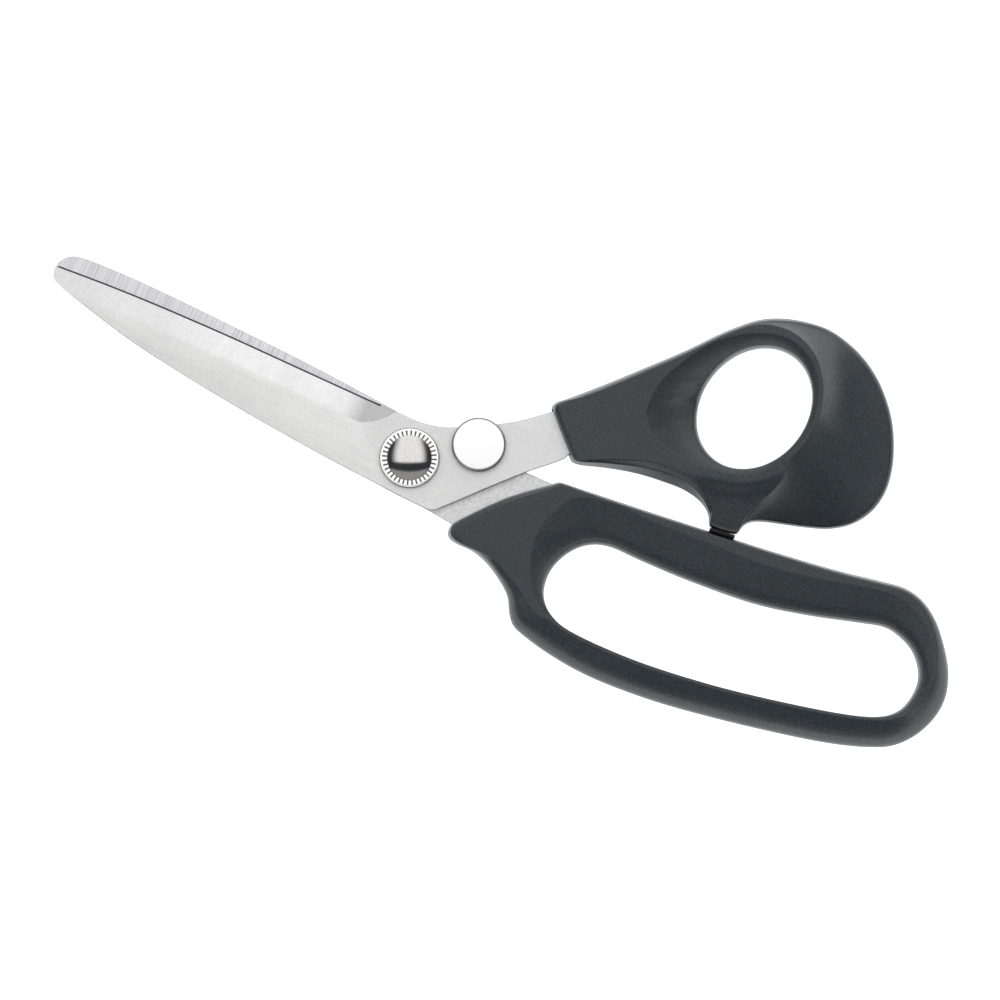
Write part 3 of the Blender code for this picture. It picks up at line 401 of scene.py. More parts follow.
def section_points(width, slant, p):
    """One handle section, from the hole's parting line over the top to the back, as (distance, height)
    pairs of arrays. slant is a section's length over the true distance from the outline."""
    zero = np.zeros(len(width))
    hole_edge = (zero, p["hole_parting"])
    upper = np.tan(np.radians(p["scoop_slope"]))
    lower = np.tan(np.radians(p["knee_slope"]))
    crease = (p["crease"], p["crease_height"])
    knee = p["knee"]

    def on_scoop(distance):
        above = crease[1] - (crease[0] - distance) * upper
        below = crease[1] - (crease[0] - knee) * upper - (knee - distance) * lower
        return distance, np.where(distance > knee, above, below)

    def on_face(distance):
        along = np.clip((distance - p["step_at"]) / STEP_WIDTH + 0.5, 0, 1)
        beyond = np.maximum(distance - p["step_at"], 0) * POST_SLOPE
        return distance, crease[1] - p["step"] * (along ** 2 * (3 - 2 * along) + beyond)

    bend = KNEE_BEND * np.minimum(crease[0] - knee, knee - p["scoop_roll"])
    shoulder = (width - p["shoulder"] * slant, p["shoulder_height"])
    ridge_at = crease[0] + p["face"] * (shoulder[0] - crease[0])
    ridge = on_face(ridge_at)
    flank = shoulder[0] - ridge_at

    def on_flank(t):
        left = 1 - t
        share = FLANK_STRAIGHT * left + (1 - FLANK_STRAIGHT) * left ** p["hollow"]
        return ridge_at + flank * t, shoulder[1] + (ridge[1] - shoulder[1]) * share

    outer_edge = (width, p["outer_parting"])
    # The rolled edge goes on at the slope the flank ends with.
    evenness = FLANK_STRAIGHT + (1 - FLANK_STRAIGHT) * np.clip(2 - p["hollow"], 0, 1)
    end_slope = np.clip(evenness * (ridge[1] - shoulder[1]) / flank, 0, 0.5)
    rolled = (p["shoulder"] - p["draft"]) * slant
    outer_corner = (width - p["draft"] * slant, shoulder[1] - end_slope * rolled)
    outer_rise = line_points(outer_corner, outer_edge, [p["drop"]])[0]
    back_corner = (width - BACK_INSET * slant, zero)
    back_rise = line_points(back_corner, outer_edge, [p["back_drop"]])[0]
    back_outer = (width - p["back_outer_roll"] * slant, zero)
    back_inner = (p["back_hole_roll"], zero)

    points = blend_points(hole_edge, on_scoop(zero), on_scoop(p["scoop_roll"]), 7)
    points += line_points(on_scoop(p["scoop_roll"]), on_scoop(knee - bend), (0, 0.5))
    points += blend_points(on_scoop(knee - bend), on_scoop(knee), on_scoop(knee + bend), 5)
    points += line_points(on_scoop(knee + bend), crease, (0, 0.5))
    beside = np.minimum(EDGE_BLEND, 0.3 * (crease[0] - knee - bend))
    points += [on_scoop(crease[0] - beside), crease]
    beside = np.minimum(EDGE_BLEND, 0.2 * (ridge_at - crease[0]))
    points += [on_face(crease[0] + beside)]
    for share in (0.08, 0.14, 0.2, 0.26, 0.32, 0.4, 0.55, 0.8):
        points.append(on_face(crease[0] + beside + share * (ridge_at - crease[0] - 2 * beside)))
    points += [on_face(ridge_at - beside), ridge]
    for t in (EDGE_BLEND / np.maximum(flank, 6 * EDGE_BLEND), 0.1, 0.17, 0.26, 0.38, 0.52, 0.7, 0.86):
        points.append(on_flank(t))
    points += blend_points(shoulder, outer_corner, outer_rise, 7)
    points += line_points(outer_rise, outer_edge, (0, 0.35, 0.7, 0.97, 1.0))
    points += line_points(outer_edge, back_rise, (0.03, 0.4, 0.75))
    points += blend_points(back_rise, back_corner, back_outer, 5)
    points += line_points(back_outer, back_inner, (0, 0.1, 0.35, 0.65, 0.9))
    points += blend_points(back_inner, (zero, zero), hole_edge, 5)
    return points


def handle(name, outline, profile, hole_at, turn, step=1.3):
    """A moulded ring: sections run from the hole's edge to the outline and back underneath.

    outline holds x, y and a place round the hole, which hole_at turns into a point on its edge. turn
    is one whole turn of those places, and step is how far apart the sections are on the outline.
    """
    places = np.array(outline, float)
    chords = np.linalg.norm(np.roll(places[:, :2], -1, axis=0) - places[:, :2], axis=1)
    gaps = np.sqrt(chords)
    knots = np.concatenate([[0], np.cumsum(gaps)[:-1]])
    period = gaps.sum()
    parts = [max(2, round(c / step)) for c in chords]
    t = np.concatenate([k + g * np.arange(n) / n for k, g, n in zip(knots, gaps, parts)])
    outer = closed_curve(knots, places[:, :2], period)(t)
    around = closed_curve(knots, places[:, 2], period, gain=turn)(t)[:, 0]
    inner = hole_at(around)
    section = {}
    for key, pairs in profile.items():
        section[key] = closed_curve(*zip(*pairs), turn, limited=True)(around)[:, 0]

    width = np.linalg.norm(outer - inner, axis=1)
    direction = (outer - inner) / width[:, None]
    tangent = np.roll(outer, -1, axis=0) - np.roll(outer, 1, axis=0)
    tangent /= np.linalg.norm(tangent, axis=1)[:, None]
    square = np.abs(direction[:, 0] * tangent[:, 1] - direction[:, 1] * tangent[:, 0])
    slant = 1 / np.clip(square, 0.3, 1)
    slant = (np.roll(slant, 1) + 2 * slant + np.roll(slant, -1)) / 4

    columns = section_points(width, slant, section)
    grid = np.empty((len(t), len(columns), 3))
    for j, (distance, height) in enumerate(columns):
        grid[:, j, :2] = inner + direction * distance[:, None]
        grid[:, j, 2] = height
    obj = new_object(name, grid.reshape(-1, 3), tube_faces(*grid.shape[:2], closed=True))
    subdivision = obj.modifiers.new("fine", "SUBSURF")
    subdivision.levels = 1
    subdivision.render_levels = 1
    return obj


def prism(name, outline, low, high, edge=0.0):
    """A flat plate with the given outline and rounded rims of radius edge."""
    points = np.array(outline, float)
    ahead = np.roll(points, -1, axis=0) - points
    ahead /= np.linalg.norm(ahead, axis=1)[:, None]
    behind = np.roll(ahead, 1, axis=0)
    area = np.sum(points[:, 0] * np.roll(points[:, 1], -1) - points[:, 1] * np.roll(points[:, 0], -1))
    turned = math.copysign(1, area)
    normal = turned * np.stack([ahead[:, 1] + behind[:, 1], -ahead[:, 0] - behind[:, 0]], axis=1)
    normal /= np.linalg.norm(normal, axis=1)[:, None]
    levels = [(0.0, low), (0.0, high)]
    if edge:
        quarter = [math.radians(a) for a in (90, 60, 30, 0)]
        levels = [(edge * (1 - math.cos(a)), low + edge * (1 - math.sin(a))) for a in quarter]
        levels += [(inset, low + high - z) for inset, z in levels[::-1]]
    vertices = []
    for inset, z in levels:
        vertices += [(x, y, z) for x, y in points - normal * inset]
    return new_object(name, vertices, capped_faces(len(levels), len(points)))


# ---- blades
def grinding_wheel(name, edge, inward, face, sign):
    """The space the wheel sweeps above a blade's face: bevel, honed strip and curved run-out.

    edge is the cutting edge's points, inward is the side of it that the blade lies on, and sign is
    +1 where the ground face looks up.
    """
    edge_x, edge_y = np.array(sorted(edge)).T
    beyond_tip = -108.0
    even = np.arange(beyond_tip, BEVEL_END, 2.0)
    xs = np.concatenate([even, np.arange(BEVEL_END, BEVEL_END + RUN_OUT, 0.35)])
    inside = np.array([-1.2, -0.4, 0, HONED_WIDTH / 2, HONED_WIDTH, 1, 2, 3, 4, 4.8, 5.3, 5.6, 5.8, 6,
                       6.2, 6.4, 6.7, 7, 7.3])
    slope = BEVEL_DEPTH / BEVEL_WIDTH
    ramp = BEVEL_WIDTH - inside
    eased = slope * (ramp + BEVEL_BLEND) ** 2 / (4 * BEVEL_BLEND)
    fall = np.where(ramp > BEVEL_BLEND, slope * ramp, np.where(ramp > -BEVEL_BLEND, eased, -0.05))
    fall += np.maximum(HONED_WIDTH - inside, 0)
    along = np.maximum(xs - BEVEL_END, 0)
    lift = WHEEL_RADIUS - np.sqrt(WHEEL_RADIUS ** 2 - along ** 2)
    top = face + sign * WHEEL_DEPTH
    rows = []
    for x, up in zip(xs, lift):
        y = np.interp(x, edge_x, edge_y) + inward * inside
        ground = [(x, b, face + sign * (up - f)) for b, f in zip(y, fall)]
        rows.append(ground + [(x, y[-1], top), (x, y[0], top)])
    return new_object(name, np.array(rows).reshape(-1, 3), capped_faces(len(rows), len(rows[0])))


def post(name, radius, low, high, centre=(0, 0), steps=72):
    """A round upright cutter."""
    angles = np.linspace(0, 2 * math.pi, steps, endpoint=False)
    outline = [(centre[0] + radius * math.cos(a), centre[1] + radius * math.sin(a)) for a in angles]
    return prism(name, outline, low, high)


def blade_zones(obj, finishes, side):
    """Gives each face its finish from the way it looks. side is +1 where the ground face looks up."""
    flat, ground, honed = 0.9995, 0.82, 0.4
    # The honed strip and the rim get dark colours: painted shade along the cutting edge and the blades'
    # sides.
    zones = ("face", "bevel", "honed", "rim", "inner")
    for zone in zones:
        obj.data.materials.append(finishes[zone])
    for face in obj.data.polygons:
        tilt = face.normal.z * side
        zone = "rim"
        if tilt > flat:
            zone = "face"
        elif tilt < -flat:
            zone = "inner"
        elif tilt > ground:
            zone = "bevel"
        elif tilt > honed and abs(face.normal.y) > 0.45 and face.center.x < HONED_END * MM:
            zone = "honed"
        face.material_index = zones.index(zone)


def ground_blade(name, outline, edge, low, high, side, bore, finishes):
    """A blade ground on its upper side, for side +1, or its lower one, for -1. It is cut for the bolt,
    the guide rivet and, on its other side, the washer."""
    blade = prism(name + "_fine", outline, low, high, EDGE_ROUND)
    ground, inner = (high, low) if side > 0 else (low, high)
    boolean(blade, grinding_wheel(name + "_wheel", edge, -side, ground, side))
    boolean(blade, post(name + "_bore", bore, low - 1, high + 1))
    boolean(blade, post(name + "_guide", GUIDE_SHANK + GAP, low - 1, high + 1, GUIDE_XY))
    recess = sorted((inner - side, inner + side * COUNTERBORE))
    boolean(blade, post(name + "_recess", radius("blade_washer") + GAP, *recess))
    blade_zones(smooth(applied(blade), 12), finishes, side)
    return blade


def make_blades(finishes):
    edge = spline(FRONT_EDGE)
    outline = edge[:-1] + spline(FRONT_TOP) + FRONT_TANG + spline(FRONT_UNDER_TANG)[:-1]
    outline += spline(FRONT_HEEL, 6)[:-1] + spline(FRONT_SPINE)
    bore = radius("pivot_bush") + GAP
    front = ground_blade("front_blade", outline, edge, FRONT_LOW, FRONT_HIGH, 1, bore, finishes)
    edge = spline(REAR_EDGE)
    outline = spline(REAR_SPINE) + REAR_TANG + spline(REAR_UNDER)[:-1] + edge
    rear = ground_blade("rear_blade", outline, edge, REAR_LOW, REAR_HIGH, -1, BORE, finishes)
    return front, rear


# ---- turned pieces
def rounded(profile, closed):
    """A turned profile with its corners rounded: profile holds (radius, height, rounding)."""
    points = np.array([p[:2] for p in profile], float)
    out = []
    for k, (r, z, rounding) in enumerate(profile):
        ends = not closed and k in (0, len(profile) - 1)
        if rounding == 0 or ends:
            out.append((r, z))
            continue
        before = points[k - 1] - points[k]
        after = points[(k + 1) % len(points)] - points[k]
        start = points[k] + before / np.linalg.norm(before) * rounding
        end = points[k] + after / np.linalg.norm(after) * rounding
        out += blend_points(start, points[k], end, 4) + [tuple(end)]
    return out


def lathe(name, profile, centre=(0, 0), steps=120):
    """A turned piece. A profile that starts on the axis ends there too; any other one is a ring."""
    solid = profile[0][0] == 0
    outline = rounded(profile, closed=not solid)
    if solid:
        outline = outline[1:-1]
    angles = np.linspace(0, 2 * math.pi, steps, endpoint=False)
    vertices = []
    for a in angles:
        vertices += [(centre[0] + r * math.cos(a), centre[1] + r * math.sin(a), z) for r, z in outline]
    across = len(outline)
    faces = tube_faces(steps, across, closed=True, looped=not solid)
    if solid:
        for end, height in ((0, profile[0][1]), (across - 1, profile[-1][1])):
            tip = len(vertices)
            vertices.append((*centre, height))
            faces += [(tip, i * across + end, (i + 1) % steps * across + end) for i in range(steps)]
    return smooth(new_object(name, vertices, faces), 32)


def make_nut():
    """The dial's flange with its ring of short radial grooves, and the hub the cap is pressed on."""
    low, high = heights("tension_nut")
    flange = DIAL_FLANGE
    outer = radius("tension_nut")
    start, end = TOOTH_RING
    hub = 4.6
    profile = [(BORE, high, 0), (hub - 0.2, high, 0), (hub, high - 0.2, 0), (hub, flange, 0),
               (start, flange, 0), (start + 0.05, flange, 1), (6.2, flange, 1), (end - 0.05, flange, 1),
               (end, flange, 0), (outer - 0.22, flange, 0), (outer - 0.1, flange - 0.03, 0),
               (outer - 0.03, flange - 0.1, 0),
               (outer, flange - 0.22, 0), (outer, low + 0.2, 0), (outer - 0.2, low, 0), (BORE, low, 0)]
    pitch = 2 * math.pi / TOOTH_COUNT
    stations = [(-0.5, 0), (-0.34, 0), (-0.17, 0), (-0.12, 1), (0, 1), (0.12, 1), (0.17, 0), (0.34, 0)]
    vertices = []
    for tooth in range(TOOTH_COUNT):
        for share, cut in stations:
            a = pitch * (tooth + share)
            vertices += [(r * math.cos(a), r * math.sin(a), z - TOOTH_DEPTH * cut * grooved)
                         for r, z, grooved in profile]
    faces = tube_faces(len(stations) * TOOTH_COUNT, len(profile), closed=True)
    return smooth(new_object("tension_nut_fine", vertices, faces), 30)


def in_groove(face):
    """Whether a face is the floor of one of the dial's grooves."""
    x, y, z = face.center / MM
    start, end = TOOTH_RING
    deep = z < DIAL_FLANGE - 0.45 * TOOTH_DEPTH
    return deep and start < math.hypot(x, y) < end and face.normal.z > 0.5


def make_cap():
    """The dial's domed cap, a thin shell with a rounded rim."""
    low, high = heights("nut_cap")
    rim = radius("nut_cap")
    inner = rim - CAP_WALL
    crown = []
    for k in range(15):
        r = (rim - 0.35) * k / 14
        crown.append((r, high - (CAP_SPHERE - math.sqrt(CAP_SPHERE ** 2 - r ** 2)), 0))
    edge = crown[-1][1]
    side = [(rim - 0.12, edge - 0.12, 0), (rim, edge - 0.42, 0), (rim, low + 0.1, 0), (rim - 0.1, low, 0),
            (inner, low, 0), (inner, edge - CAP_WALL, 0), (3.0, high - 1.15, 0), (0, high - CAP_WALL, 0)]
    return lathe("nut_cap_fine", crown + side, steps=144)


def make_turned():
    """The bolt, washers and guide rivet, each with its corners broken."""
    low, high = heights("guide_rivet")
    back_low, back_high = heights("guide_back_disc")
    disc = radius("guide_rivet")
    back = radius("guide_back_disc")
    profiles = {
        "guide_rivet": [
            (0, high, 0), (disc - 0.9, high, 0), (disc - 0.4, high - 0.05, 0.15), (disc, high - 0.5, 0.2),
            (disc, DISC_LOW, 0.15), (GUIDE_SHANK, DISC_LOW, 0), (GUIDE_SHANK, REAR_LOW, 0.1),
            (GUIDE_PIN, REAR_LOW, 0), (GUIDE_PIN, back_low - GAP, 0), (2.5, back_low - GAP, 0.3),
            (1.9, low + 0.1, 0.2), (1.0, low, 0), (0, low, 0)],
        "guide_back_disc": [
            (GUIDE_PIN + GAP, back_high, 0.1), (back, back_high, 0.15), (back, back_low, 0.35),
            (GUIDE_PIN + GAP, back_low, 0.1)],
    }
    low, high = heights("pivot_bolt")
    head = radius("pivot_bolt")
    shank = BORE - GAP
    profiles["pivot_bolt"] = [
        (0, high, 0), (shank - 0.5, high, 0), (shank, high - 0.5, 0), (shank, BOLT_HEAD_TOP, 0.1),
        (head, BOLT_HEAD_TOP, 0.15), (head, low + 0.8, 0.3), (head - 0.8, low, 0.2), (1.6, low, 0.1),
        (1.2, low + 0.3, 0.1), (0, low + 0.35, 0)]
    low, high = heights("spring_washer")
    rim = head - 0.3
    profiles["spring_washer"] = [
        (BORE, high, 0.08), (rim, low + 0.5, 0.15), (rim, low, 0.15), (BORE, high - 0.5, 0.08)]
    low, high = heights("dial_washer")
    rim = radius("dial_washer")
    profiles["dial_washer"] = [
        (BORE, high, 0.08), (rim, high, 0.12), (rim, low, 0.12), (BORE, low, 0.08)]
    return {node: lathe(node + "_fine", profile, GUIDE_XY if node.startswith("guide") else (0, 0))
            for node, profile in profiles.items()}


def leaning_block(name, size, centre_xy, edge=0.0):
    """A block at the parting plane's height, turned with the end of the thumb handle's post."""
    cos, sin = math.cos(PAD_LEAN), math.sin(PAD_LEAN)
    outline = []
    for sx, sy in ((-1, -1), (1, -1), (1, 1), (-1, 1)):
        x, y = sx * size[0] / 2, sy * size[1] / 2
        outline.append((centre_xy[0] + x * cos - y * sin, centre_xy[1] + x * sin + y * cos))
    return prism(name, outline, PARTING - size[2] / 2, PARTING + size[2] / 2, edge)


def make_pad():
    """The soft stop: a slab across the post's end with a root that sits in the post's slot."""
    pad = leaning_block("stop_pad_fine", PAD_SLAB, PAD_XY, EDGE_ROUND)
    boolean(pad, leaning_block("stop_pad_root", PAD_ROOT, PAD_ROOT_XY, EDGE_ROUND), "UNION")
    return smooth(applied(pad), 25)


def make_handles():
    """Both handles, each with the closed pocket that its blade's tang lies in."""
    thumb = handle("thumb_handle_fine", THUMB_OUTLINE, THUMB_PROFILE, thumb_hole, 360)
    boolean(thumb, prism("thumb_pocket", THUMB_POCKET, FRONT_LOW - GAP, FRONT_HIGH + GAP))
    boolean(thumb, leaning_block("pad_slot", [s + 2 * GAP for s in PAD_ROOT], PAD_ROOT_XY))
    count = len(FINGER_HOLE)
    hole = closed_curve(range(count), FINGER_HOLE, count)
    finger = handle("finger_handle_fine", FINGER_OUTLINE, FINGER_PROFILE, hole, count)
    boolean(finger, prism("finger_pocket", FINGER_POCKET, REAR_LOW - GAP, REAR_HIGH + GAP))
    return smooth(applied(thumb), 50), smooth(applied(finger), 50)


# ---- materials
def add(tree, kind, inputs=(), **settings):
    """A shader node with its inputs set: a socket is linked, anything else is a value."""
    node = tree.nodes.new("ShaderNode" + kind)
    for key, value in settings.items():
        setattr(node, key, value)
    for key, value in dict(inputs).items():
        if isinstance(value, bpy.types.NodeSocket):
            tree.links.new(value, node.inputs[key])
        else:
            node.inputs[key].default_value = value
    return node


def noise(tree, vector, scale, detail=3.0, roughness=0.55):
    inputs = {"Vector": vector, "Scale": scale, "Detail": detail, "Roughness": roughness}
    return add(tree, "TexNoise", inputs).outputs["Fac"]


def mapped(tree, vector, setting, value):
    return add(tree, "Mapping", {"Vector": vector, setting: value}).outputs["Vector"]


def along_x(tree, coords):
    return add(tree, "SeparateXYZ", {0: coords}).outputs["X"]


def spread(tree, value, low, high, start=0.3, end=0.7):
    """Maps a texture's value onto a range of numbers."""
    inputs = {"Value": value, "From Min": start, "From Max": end, "To Min": low, "To Max": high}
    return add(tree, "MapRange", inputs).outputs["Result"]


def between(tree, factor, a, b):
    """Mixes two colours: each is a socket, three numbers, or one number for a grey."""
    made = add(tree, "Mix", data_type="RGBA")
    tree.links.new(factor, made.inputs[0])
    for index, value in ((6, a), (7, b)):
        if isinstance(value, bpy.types.NodeSocket):
            tree.links.new(value, made.inputs[index])
        else:
            rgb = value if isinstance(value, tuple) else (value,) * 3
            made.inputs[index].default_value = (*rgb, 1.0)
    return made.outputs[2]


def shaded(tree, colour, shade):
    """A colour made darker by a number."""
    return add(tree, "VectorMath", {0: colour, "Scale": shade}, operation="SCALE").outputs["Vector"]


def maths(tree, operation, *values):
    return add(tree, "Math", dict(enumerate(values)), operation=operation).outputs[0]


def start_material(name, metallic, **sockets):
    """A new material, its tree, its shader and the object's own coordinates."""
    made = bpy.data.materials.new(name)
    made.use_nodes = True
    tree = made.node_tree
    shader = tree.nodes["Principled BSDF"]
    shader.inputs["Metallic"].default_value = metallic
    for key, value in sockets.items():
        shader.inputs[key.replace("_", " ")].default_value = value
    return made, tree, shader, add(tree, "TexCoord").outputs["Object"]


def connect(tree, shader, colour, rough, bump, strength, distance):
    """Links the colour, the roughness and a fine relief to the shader."""
    tree.links.new(colour, shader.inputs["Base Color"])
    tree.links.new(rough, shader.inputs["Roughness"])
    relief = add(tree, "Bump", {"Height": bump, "Strength": strength, "Distance": distance})
    tree.links.new(relief.outputs["Normal"], shader.inputs["Normal"])


def brushed(name, pale, dark, rough, turn=0.0, along=60.0, across=2600.0, relief=0.35,
            weights=(0.3, 0.15, 0.35, 0.2)):
    """Ground steel. weights share the tone between scratches along one direction, broader streaks,
    an even grain and slow clouds."""
    made, tree, shader, coords = start_material(name, 1.0)
    turned = mapped(tree, coords, "Rotation", (0, 0, math.radians(turn)))
    stretched = mapped(tree, turned, "Scale", (along, across, across))
    fine = noise(tree, stretched, 1.0, 4.0, 0.7)
    broad = mapped(tree, turned, "Scale", (along * 0.4, across * 0.16, across * 0.16))
    streaks = noise(tree, broad, 1.0, 3.0)
    cloud = noise(tree, coords, 90.0, 4.0)
    grain = noise(tree, coords, 1700.0, 3.0, 0.6)
    mixed = None
    for value, weight in zip((fine, streaks, grain, cloud), weights):
        part = maths(tree, "MULTIPLY", value, weight)
        mixed = maths(tree, "ADD", mixed, part) if mixed else part
    colour = between(tree, spread(tree, mixed, 0.0, 1.0, 0.38, 0.62), dark, pale)
    roughness = spread(tree, mixed, rough[0], rough[1], 0.4, 0.6)
    connect(tree, shader, colour, roughness, mixed, relief, 0.00002)
    return made, tree, shader, coords, colour


def turned_steel(name, pale, dark, rough, centre_xy=(0, 0), rings=2200.0):
    """Turned metal: fine rings round an axis."""
    made, tree, shader, coords = start_material(name, 1.0)
    moved = mapped(tree, coords, "Location", (-centre_xy[0] * MM, -centre_xy[1] * MM, 0))
    parts = add(tree, "SeparateXYZ", {0: moved})
    flat = add(tree, "CombineXYZ", {"X": parts.outputs["X"], "Y": parts.outputs["Y"]})
    reach = add(tree, "VectorMath", {0: flat.outputs[0]}, operation="LENGTH").outputs["Value"]
    line = add(tree, "CombineXYZ", {"X": maths(tree, "MULTIPLY", reach, rings)})
    ring = noise(tree, line.outputs[0], 1.0, 3.0, 0.7)
    speck = noise(tree, coords, 1400.0, 3.0)
    mixed = maths(tree, "ADD", ring, speck)
    colour = between(tree, spread(tree, mixed, 0.0, 1.0, 0.75, 1.25), dark, pale)
    connect(tree, shader, colour, spread(tree, mixed, rough[0], rough[1], 0.8, 1.2), ring, 0.2, 0.00001)
    return made


def mirror_steel(name, pale, dark, rough, grain=2600.0):
    """Polished steel with the fine speckle that buffing leaves."""
    made, tree, shader, coords = start_material(name, 1.0)
    speck = noise(tree, coords, grain, 4.0, 0.6)
    cloud = noise(tree, coords, 260.0, 3.0)
    colour = between(tree, spread(tree, speck, 0.0, 1.0, 0.35, 0.6), dark, pale)
    connect(tree, shader, colour, spread(tree, cloud, rough[0], rough[1]), speck, 0.12, 0.00001)
    return made


def moulded(name, pale, dark, rough, grain=2400.0, relief=0.35, **sockets):
    """Moulded plastic or rubber with a fine spark-eroded grain, a little shinier where it is handled."""
    made, tree, shader, coords = start_material(name, 0.0, **sockets)
    fine = noise(tree, coords, grain, 3.0, 0.65)
    cloud = noise(tree, coords, 45.0, 4.0)
    colour = between(tree, spread(tree, fine, 0.0, 1.0, 0.36, 0.64), dark, pale)
    edge = add(tree, "NewGeometry").outputs["Pointiness"]
    polish = spread(tree, edge, 0.0, 0.05, 0.5, 0.62)
    base = spread(tree, cloud, rough[0], rough[1])
    roughness = maths(tree, "SUBTRACT", base, polish)
    connect(tree, shader, colour, roughness, fine, relief, 0.00004)
    return made


def face_steel():
    """The blade's flat face: a soft grain along its length, a little darker towards the tip."""
    made, tree, shader, coords, colour = brushed("blade_face", (1.0, 1.0, 0.995), 0.80, (0.46, 0.56),
                                                 0, 110, 2600, 0.3)
    shade = spread(tree, along_x(tree, coords), 0.92, 1.0, -70 * MM, 25 * MM)
    tree.links.new(shaded(tree, colour, shade), shader.inputs["Base Color"])
    return made


def bevel_steel():
    """The ground bevel: dull near the tip, bright along its middle, and dark in the run-out."""
    made, tree, shader, coords, colour = brushed("blade_bevel", 0.92, (0.74, 0.74, 0.745), (0.36, 0.46),
                                                 90, 110, 1500)
    along = along_x(tree, coords)
    dull = spread(tree, along, 0.84, 1.0, -95 * MM, -55 * MM)
    run_out = spread(tree, along, 1.0, 0.58, -20.5 * MM, -15.0 * MM)
    shade = maths(tree, "MULTIPLY", dull, run_out)
    tree.links.new(shaded(tree, colour, shade), shader.inputs["Base Color"])
    return made


def inner_steel():
    """The rear blade's inner side: ground across its length, and only grained on the tang."""
    made, tree, shader, coords, colour = brushed("blade_inner", (0.96, 0.95, 0.97), (0.58, 0.57, 0.60),
                                                 (0.36, 0.46), 90, 60, 2600, 0.5, (0.75, 0.05, 0.1, 0.1))
    grain = noise(tree, coords, 1300.0, 3.0)
    tang = between(tree, spread(tree, grain, 0.0, 1.0, 0.35, 0.65), 0.70, 0.86)
    on_tang = spread(tree, along_x(tree, coords), 0.0, 1.0, -8 * MM, -4 * MM)
    mixed = between(tree, on_tang, colour, tang)
    tree.links.new(mixed, shader.inputs["Base Color"])
    return made


def make_materials():
    """Every finish, by a short name."""
    return {
        "face": face_steel(),
        "bevel": bevel_steel(),
        # The honed strip is painted near black: painted shade for the dark reflection and shadow along
        # the cutting edge.
        "honed": brushed("honed_strip_painted_shade", (0.06, 0.06, 0.065), (0.02, 0.02, 0.022), (0.45, 0.55))[0],
        # The blades' side walls are painted dark grey: painted shade, so that the shadow beside the front
        # tang shows in the rear blade.
        "rim": brushed("blade_rim_painted_shade", (0.40, 0.40, 0.41), (0.28, 0.28, 0.29), (0.4, 0.5), 0, 200, 1800)[0],
        "inner": inner_steel(),
        "polished": turned_steel("disc_steel", 0.97, 0.90, (0.16, 0.26), GUIDE_XY),
        # The disc's rim is painted dark: painted shade where the disc meets the blade.
        "disc_rim": turned_steel("disc_rim_painted_shade", 0.24, 0.15, (0.35, 0.45), GUIDE_XY),
        "dial": turned_steel("dial_steel", 0.97, 0.88, (0.16, 0.26)),
        # The groove floors are painted near black: painted shade in the dial's grooves.
        "groove": mirror_steel("groove_floor_painted_shade", 0.14, 0.06, (0.4, 0.6)),
        "mirror": mirror_steel("cap_steel", (0.76, 0.745, 0.73), (0.60, 0.585, 0.57), (0.07, 0.13), 3400),
        # Dark grey: partly the washer's own tone, partly painted shade round the dial's edge.
        "washer": turned_steel("washer_steel_and_shade", 0.30, 0.20, (0.3, 0.4)),
        "plain": turned_steel("bolt_steel", (0.66, 0.66, 0.67), (0.48, 0.48, 0.49), (0.28, 0.42),
                              rings=1500),
        "back_disc": turned_steel("back_disc_steel", 0.70, (0.52, 0.52, 0.53), (0.25, 0.4), GUIDE_XY),
        "bronze": turned_steel("bush_bronze", (0.62, 0.42, 0.20), (0.42, 0.27, 0.12), (0.3, 0.45)),
        "nylon": moulded("washer_nylon", (0.74, 0.73, 0.69), (0.62, 0.61, 0.57), (0.45, 0.6), 1500),
        "plastic": moulded("handle_plastic", (0.030, 0.039, 0.048), (0.007, 0.011, 0.015), (0.34, 0.42),
                           1900.0, 1.0, Specular_IOR_Level=0.7, Specular_Tint=(0.90, 0.96, 1.0, 1.0)),
        "rubber": moulded("stop_rubber", 0.010, 0.004, (0.62, 0.78), 1800),
    }


# ---- stage
VIEW_TURN = math.radians(24)        # the shears' length lies this far down to the right
RIGHT = Vector((math.cos(VIEW_TURN), math.sin(VIEW_TURN), 0))
DOWN = Vector((math.sin(VIEW_TURN), -math.cos(VIEW_TURN), 0))
UP = Vector((0, 0, 1))
CAMERA_TILT = math.radians(2)       # from straight overhead, towards the lower side
VIEW_WIDTH = 0.2538                 # in metres, at the blades
LENS = 400.0
SENSOR = 36.0
AIM = Vector((0, 0, 0.0091)) + RIGHT * 0.02297 + DOWN * 0.01066

# Where parts of the studio fade in. The light's sides, near and far edges and the grey near side are
# distances from straight overhead, over the height; the wall's top is a direction's rise.
LIGHT_SIDE = (1.15, 0.48)
LIGHT_NEAR = (-0.28, -0.12)
LIGHT_FAR = (3.4, 2.2)
GREY_NEAR = (-0.60, -0.80)
WALL_TOP = (0.47, 0.35)
LIGHT = 1.10
DARK = (0.04, 0.044, 0.050)
GREY = (0.36, 0.36, 0.35)
WALL = (1.9, 1.88, 1.84)
FLOOR_GLOW = 1.05


def make_camera():
    """A long lens almost straight above the shears."""
    data = bpy.data.cameras.new("camera")
    data.lens = LENS
    data.sensor_width = SENSOR
    camera = bpy.data.objects.new("camera", data)
    bpy.context.scene.collection.objects.link(camera)
    backwards = (UP * math.cos(CAMERA_TILT) + DOWN * math.sin(CAMERA_TILT)).normalized()
    upwards = backwards.cross(RIGHT)
    distance = VIEW_WIDTH * LENS / SENSOR
    turn = Matrix((RIGHT, upwards, backwards)).transposed().to_4x4()
    camera.matrix_world = Matrix.Translation(AIM + backwards * distance) @ turn
    data.clip_end = 2 * distance
    bpy.context.scene.camera = camera


